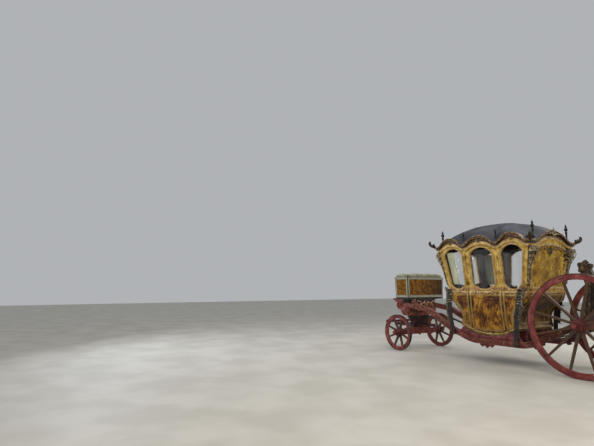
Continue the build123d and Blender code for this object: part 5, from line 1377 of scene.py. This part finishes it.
for end, nave, half_nave, rim, joints in (("rear", 0.112, 0.19, 0.85, 6), ("front", 0.092, 0.16, 0.39, 5)):
    for hand, sign in hands.items():
        x, z, y = axle_x[end], wheel_r[end], sign * 0.735
        iron_work = []
        for along, r in ((0.5, 0.925), (-0.55, 0.955), (0.93, 0.625), (0.08, 1.015)):
            iron_work.append(hoop(x, y + sign * along * half_nave, z, nave * r + 0.004, 0.02, 0.012))
        for k in range(joints):
            turn = 2 * math.pi * (k + 0.25) / joints
            at = np.array([x + rim * math.cos(turn), z + rim * math.sin(turn)])
            across = np.array([-math.sin(turn), math.cos(turn)])
            line = np.array([at + across * d for d in np.linspace(-0.05, 0.05, 6)])
            plate = [ridge(line, 0.017, 0.004, around=6)]
            plate += [boss(at + across * d, 0.009, 0.009, 3, 8) for d in (0.032, -0.032)]
            iron_work += laid(plate, upright, "y", sign * 0.8105, sign)
        piece(f"wheel_iron_{end}_{hand}", iron_work, iron, f"{end}_wheel_{hand}")
print("iron ornaments on the last wheel", len(iron_work))

# %% [markdown]
# The check straps that hold the body from swinging are broad black leather. Each has a double buckle at the
# height of the belt, two keepers under it, and a drop of bronze leaves down one edge.

# %% Buckles and bronze leaves on the check straps
bronze = finish("bronze_dark_cast", [(0.35, "302A22"), (0.5, "80745E"), (0.68, "C6BCA0")], 30, (0.34, 0.56),
                4, 0.4, in_hollows("0E0C0C", 0.35, 1.0), Metallic=0.4)
strap_runs = ((1, [(0.89, 1.543), (0.90, 1.0), (0.83, 0.527)]),
              (-1, [(0.80, 1.543), (0.69, 1.0), (0.64, 0.395)]))


def on_strap(points, run, sx, sy):
    """(across the strap, height, proud) points laid on the outer face of a check strap."""
    a, b, h = np.asarray(points).T
    middle = np.interp(b, [z for _, z in reversed(run)], [x for x, _ in reversed(run)])
    return np.c_[body_x + sx * (middle + a), sy * (0.7275 + h), b]


strap_work = []
buckle = [(0, 0.036), (0.064, 0.036), (0.064, -0.036), (-0.064, -0.036), (-0.064, 0.036), (0, 0.036)]
for z in (1.44, 1.385):
    corners = rounded_run(np.array(buckle) + [0, z], [0.018] * 4, 6)
    strap_work.append(ridge(corners, 0.0075, 0.014))
    strap_work.append(ridge(np.array([(0.0, z + 0.034), (0.0, z), (0.0, z - 0.034)]), 0.005, 0.016))
for z in (1.30, 1.255):
    strap_work.append(ridge(np.array([(-0.052, z), (0, z), (0.052, z)]), 0.011, 0.006, around=6))
for z in np.arange(1.54, 0.80, -0.075):
    strap_work += leaf((0.036, z), -58, 0.105, 0.022, 0.018, 0.8, 3, 14)
    strap_work += leaf((0.04, z + 0.03), -20, 0.09, 0.02, 0.016, -1.0, 3, 14)
    strap_work.append(boss((0.05, z), 0.012, 0.016, 4, 8))
strap_work += scroll((0.10, 1.50), 70, 0.26, 0.011, 0.018, 34)
strap_work += scroll((0.09, 1.24), -70, 0.24, 0.010, 0.016, 34)
bronzes = []
for sx, run in strap_runs:
    for sy in (1, -1):
        bronzes += laid(strap_work, on_strap, run, sx, sy)
piece("check_strap_bronzes", bronzes, bronze, "carriage")
print("strap ornaments", len(bronzes))

# %% [markdown]
# Behind the body stands a carved group on the rear transom: two tall standards that end in volutes and a
# shield between them. It is walnut-brown wood with a little gilding left on the high points.

# %% Carving on the rear group
worn_carving = finish("rear_carving_brown_and_gold", [(0.35, "2A1A10"), (0.5, "4F3620"), (0.7, "8A6B3C")], 50,
                      (0.38, 0.6), 6, 0.6, in_hollows("150D08", 0.3, 1.0), Metallic=0.15)
base_z = 1.095
eye = (axle_x["rear"], base_z + 0.842)
cheek = [ridge(spiral(eye, 0.066, 0.014, 2.2, 1.6), 0.011, 0.018), boss(eye, 0.02, 0.022)]
line = np.array([(-0.03, 0.02), (-0.035, 0.2), (-0.06, 0.38), (-0.075, 0.56), (-0.045, 0.7)])
line = smooth_run(line + [axle_x["rear"], base_z], 8)
cheek.append(ridge(line, 0.012, 0.014))
for x, z in line[2::3]:
    for way, bend in ((125, -0.9), (55, 0.9)):
        cheek += leaf((x, z), way, 0.1, 0.024, 0.018, bend, 3, 14)
shield = []
for at, way, long, turn, kind in (((0.17, 0.14), 20, 0.44, 34, "c"), ((0.2, 0.27), 100, 0.4, 32, "s"),
                                  ((0.12, 0.40), 60, 0.34, -34, "c"), ((0.07, 0.53), 95, 0.26, 32, "s")):
    shield += scroll((at[0], base_z + at[1]), way, long, 0.012, 0.02, turn, kind=kind)
for x, z, way, long in ((0.03, 0.06, 70, 0.16), (0.06, 0.2, 40, 0.16), (0.26, 0.16, 60, 0.12),
                        (0.05, 0.32, 30, 0.14), (0.03, 0.45, 60, 0.12), (0.0, 0.55, 75, 0.1)):
    shield += leaf((x, base_z + z), way, long, 0.032, 0.022, 0.8, 3, 14)
shield = mirrored(shield) + flower((0, base_z + 0.27), 0.06, 0.03)
rear_work = []
for sy in (1, -1):
    for at, way in ((0.426, 1), (0.334, -1)):
        rear_work += laid(cheek, upright, "y", sy * at, sy * way)
for ahead in (1, -1):
    rear_work += laid(shield, upright, "x", axle_x["rear"] + ahead * 0.04, ahead)
piece("rear_group_carving", rear_work, worn_carving, "carriage")
crockets = []
for sy in (1, -1):
    for row in (0.358, 0.402):
        for k, a in enumerate(np.radians(np.arange(-40, 221, 37)) + (row > 0.38) * 0.3):
            radial, around = np.array([np.cos(a), 0, np.sin(a)]), np.array([-np.sin(a), 0, np.cos(a)])
            origin = np.array([axle_x["rear"], sy * row, base_z + 0.842]) + 0.062 * radial
            crockets.append(frond(origin, radial, around * (1 if k % 2 else -1), 0.085, 0.036, 1.7, 0.015))
piece("rear_standard_crockets", crockets, worn_carving, "carriage")
print("rear ornaments", len(rear_work), "crockets", len(crockets))

# %% [markdown]
# Under the coachman's seat the front of the carriage is a tangle of carving: gilt brackets that curl up to
# the seat, and leaves over the transom and the bolster in dark red.

# %% Carving under the seat
half = scroll((0.15, 1.16), 155, 0.36, 0.014, 0.02, 34) + scroll((0.25, 1.21), 20, 0.24, 0.012, 0.018, -34)
half += leaf((0.03, 1.10), 60, 0.15, 0.03, 0.022, 0.8, 3) + leaf((0.12, 1.09), 20, 0.16, 0.028, 0.02, 0.8, 3)
seat_scrolls = mirrored(half) + flower((0, 1.14), 0.045, 0.028)
piece("seat_bracket_scrolls", laid(seat_scrolls, upright, "x", 2.019, -1), rose_leaf, "carriage")
apron = []
for y, way in ((0.12, 30), (0.27, 10), (0.42, -12)):
    apron += scroll((y, 0.955), way, 0.26, 0.012, 0.02, 34 if way > 0 else -34)
    apron += leaf((y - 0.06, 0.93), 50, 0.12, 0.026, 0.02, 0.8, 3)
    apron += leaf((y, 0.98), -50, 0.12, 0.026, 0.02, -0.8, 3)
apron = mirrored(apron) + flower((0, 0.95), 0.05, 0.03)
transom_work = laid(apron, upright, "x", 2.358, 1) + laid(apron, upright, "x", 2.208, -1)
piece("front_transom_carving", transom_work, perch_leaf, "carriage")
print("bracket ornaments", len(seat_scrolls), "transom", len(transom_work))

# %% [markdown]
# Grey-green silk curtains hang in the front side windows. A curtain is a sheet cut wider than its window and
# gathered: in plan it is a sine wave, deeper toward the foot, and it leans with the wall behind the glass.

# %% Silk curtains
silk = finish("curtain_silk_grey_green", [(0.35, "B9BDA4"), (0.5, "D2D5BE"), (0.68, "E6E8D6")], 60,
              (0.4, 0.55), 3, 0.3, stretch=(1, 1, 0.12), Sheen_Weight=0.4, Sheen_Roughness=0.4)
for hand, sign in hands.items():
    u, v = np.meshgrid(np.linspace(0, 1, 181), np.linspace(0, 1, 40))
    high = 2.36 - 0.72 * v
    x0, x1 = 0.66 + 0.09 * (high - 1.655) / 0.7, 0.83 + 0.10 * (high - 1.655) / 0.7
    depth = 0.010 + 0.004 * v
    along = x0 + (x1 - x0) * u
    y = half_width(high) - 0.062 + depth * np.sin(2 * np.pi * 7 * u + 0.5 * np.sin(5 * u))
    points = np.stack([body_x + along, sign * y, high], axis=-1)
    mesh = bpy.data.meshes.new("curtain_" + hand)
    i, j = np.meshgrid(np.arange(39), np.arange(180), indexing="ij")
    first = i * 181 + j
    quads = np.stack([first, first + 1, first + 182, first + 181], axis=-1).reshape(-1, 4)
    mesh.from_pydata(points.reshape(-1, 3).tolist(), [], quads.tolist())
    mesh.polygons.foreach_set("use_smooth", np.ones(len(quads), bool))
    mesh.materials.append(silk)
    curtain = bpy.data.objects.new("curtain_" + hand, mesh)
    scene.collection.objects.link(curtain)
    thick = curtain.modifiers.new("cloth thickness", "SOLIDIFY")
    thick.thickness = 0.0015
    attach(curtain, "carriage")

# %% [markdown]
# The picture was taken from a standing height, ahead of the coach's left side,
# with a wide lens, so the coach sits at the right of the frame and its rear wheel is large and near.

# %% Camera
camera = bpy.data.objects.new("camera", bpy.data.cameras.new("camera"))
scene.collection.objects.link(camera)
camera.data.sensor_width = 36.0
camera.data.lens = 27.06
camera.data.clip_end = 200.0
heading, pitch = math.radians(-32.34), math.radians(8.16)
camera.location = (axle_x["rear"] - 4.10, 9.20, 1.58)
look = (math.cos(heading) * math.cos(pitch), math.sin(heading) * math.cos(pitch), math.sin(pitch))
camera.rotation_mode = "QUATERNION"
camera.rotation_quaternion = Vector(look).to_track_quat("-Z", "Y")
scene.camera = camera
print("lens", round(camera.data.lens, 2), "at", [round(v, 2) for v in camera.location])

# %% [markdown]
# A hall lights a coach from many windows. Four large area lamps stand for them, so the shadows are soft, and
# the world is pale grey, so that gold and glass have something to reflect. The floor is pale stone: one flat
# square, which belongs to the picture and not to the coach.

# %% Light, floor and backdrop
scene.view_settings.view_transform = "Standard"
world = bpy.data.worlds.new("studio")
scene.world = world
world.use_nodes = True
sky = world.node_tree
sky.nodes["Background"].inputs["Color"].default_value = paint("DADDE0")
sky.nodes["Background"].inputs["Strength"].default_value = 0.62
for name, where, size, power, colour in (
    ("key", (-7.0, 7.6, 6.5), 5.0, 430.0, "FFF4E4"),
    ("fill", (6.5, 7.0, 4.5), 5.0, 240.0, "EAF1FF"),
    ("back", (-2.0, -7.5, 6.0), 6.0, 320.0, "FFF9EE"),
    ("top", (0.0, 0.0, 8.0), 6.0, 220.0, "FFFFFF"),
):
    lamp = bpy.data.objects.new(name, bpy.data.lights.new(name, "AREA"))
    scene.collection.objects.link(lamp)
    lamp.data.size, lamp.data.energy, lamp.data.color = size, power, paint(colour)[:3]
    lamp.location = where
    aim = Vector((0, 0, 1.2)) - lamp.location
    lamp.rotation_mode = "QUATERNION"
    lamp.rotation_quaternion = aim.to_track_quat("-Z", "Y")
floor_mesh = bpy.data.meshes.new("floor")
floor_mesh.from_pydata([(-40, -40, 0), (40, -40, 0), (40, 40, 0), (-40, 40, 0)], [], [(0, 1, 2, 3)])
floor = bpy.data.objects.new("floor", floor_mesh)
scene.collection.objects.link(floor)
floor_stone = finish("floor_pale_stone", [(0.4, "B9B5AA"), (0.6, "C6C2B8")], 900, (0.5, 0.7), 12, 0.2)
floor_mesh.materials.append(floor_stone)
print("lamps", len(bpy.data.lights))
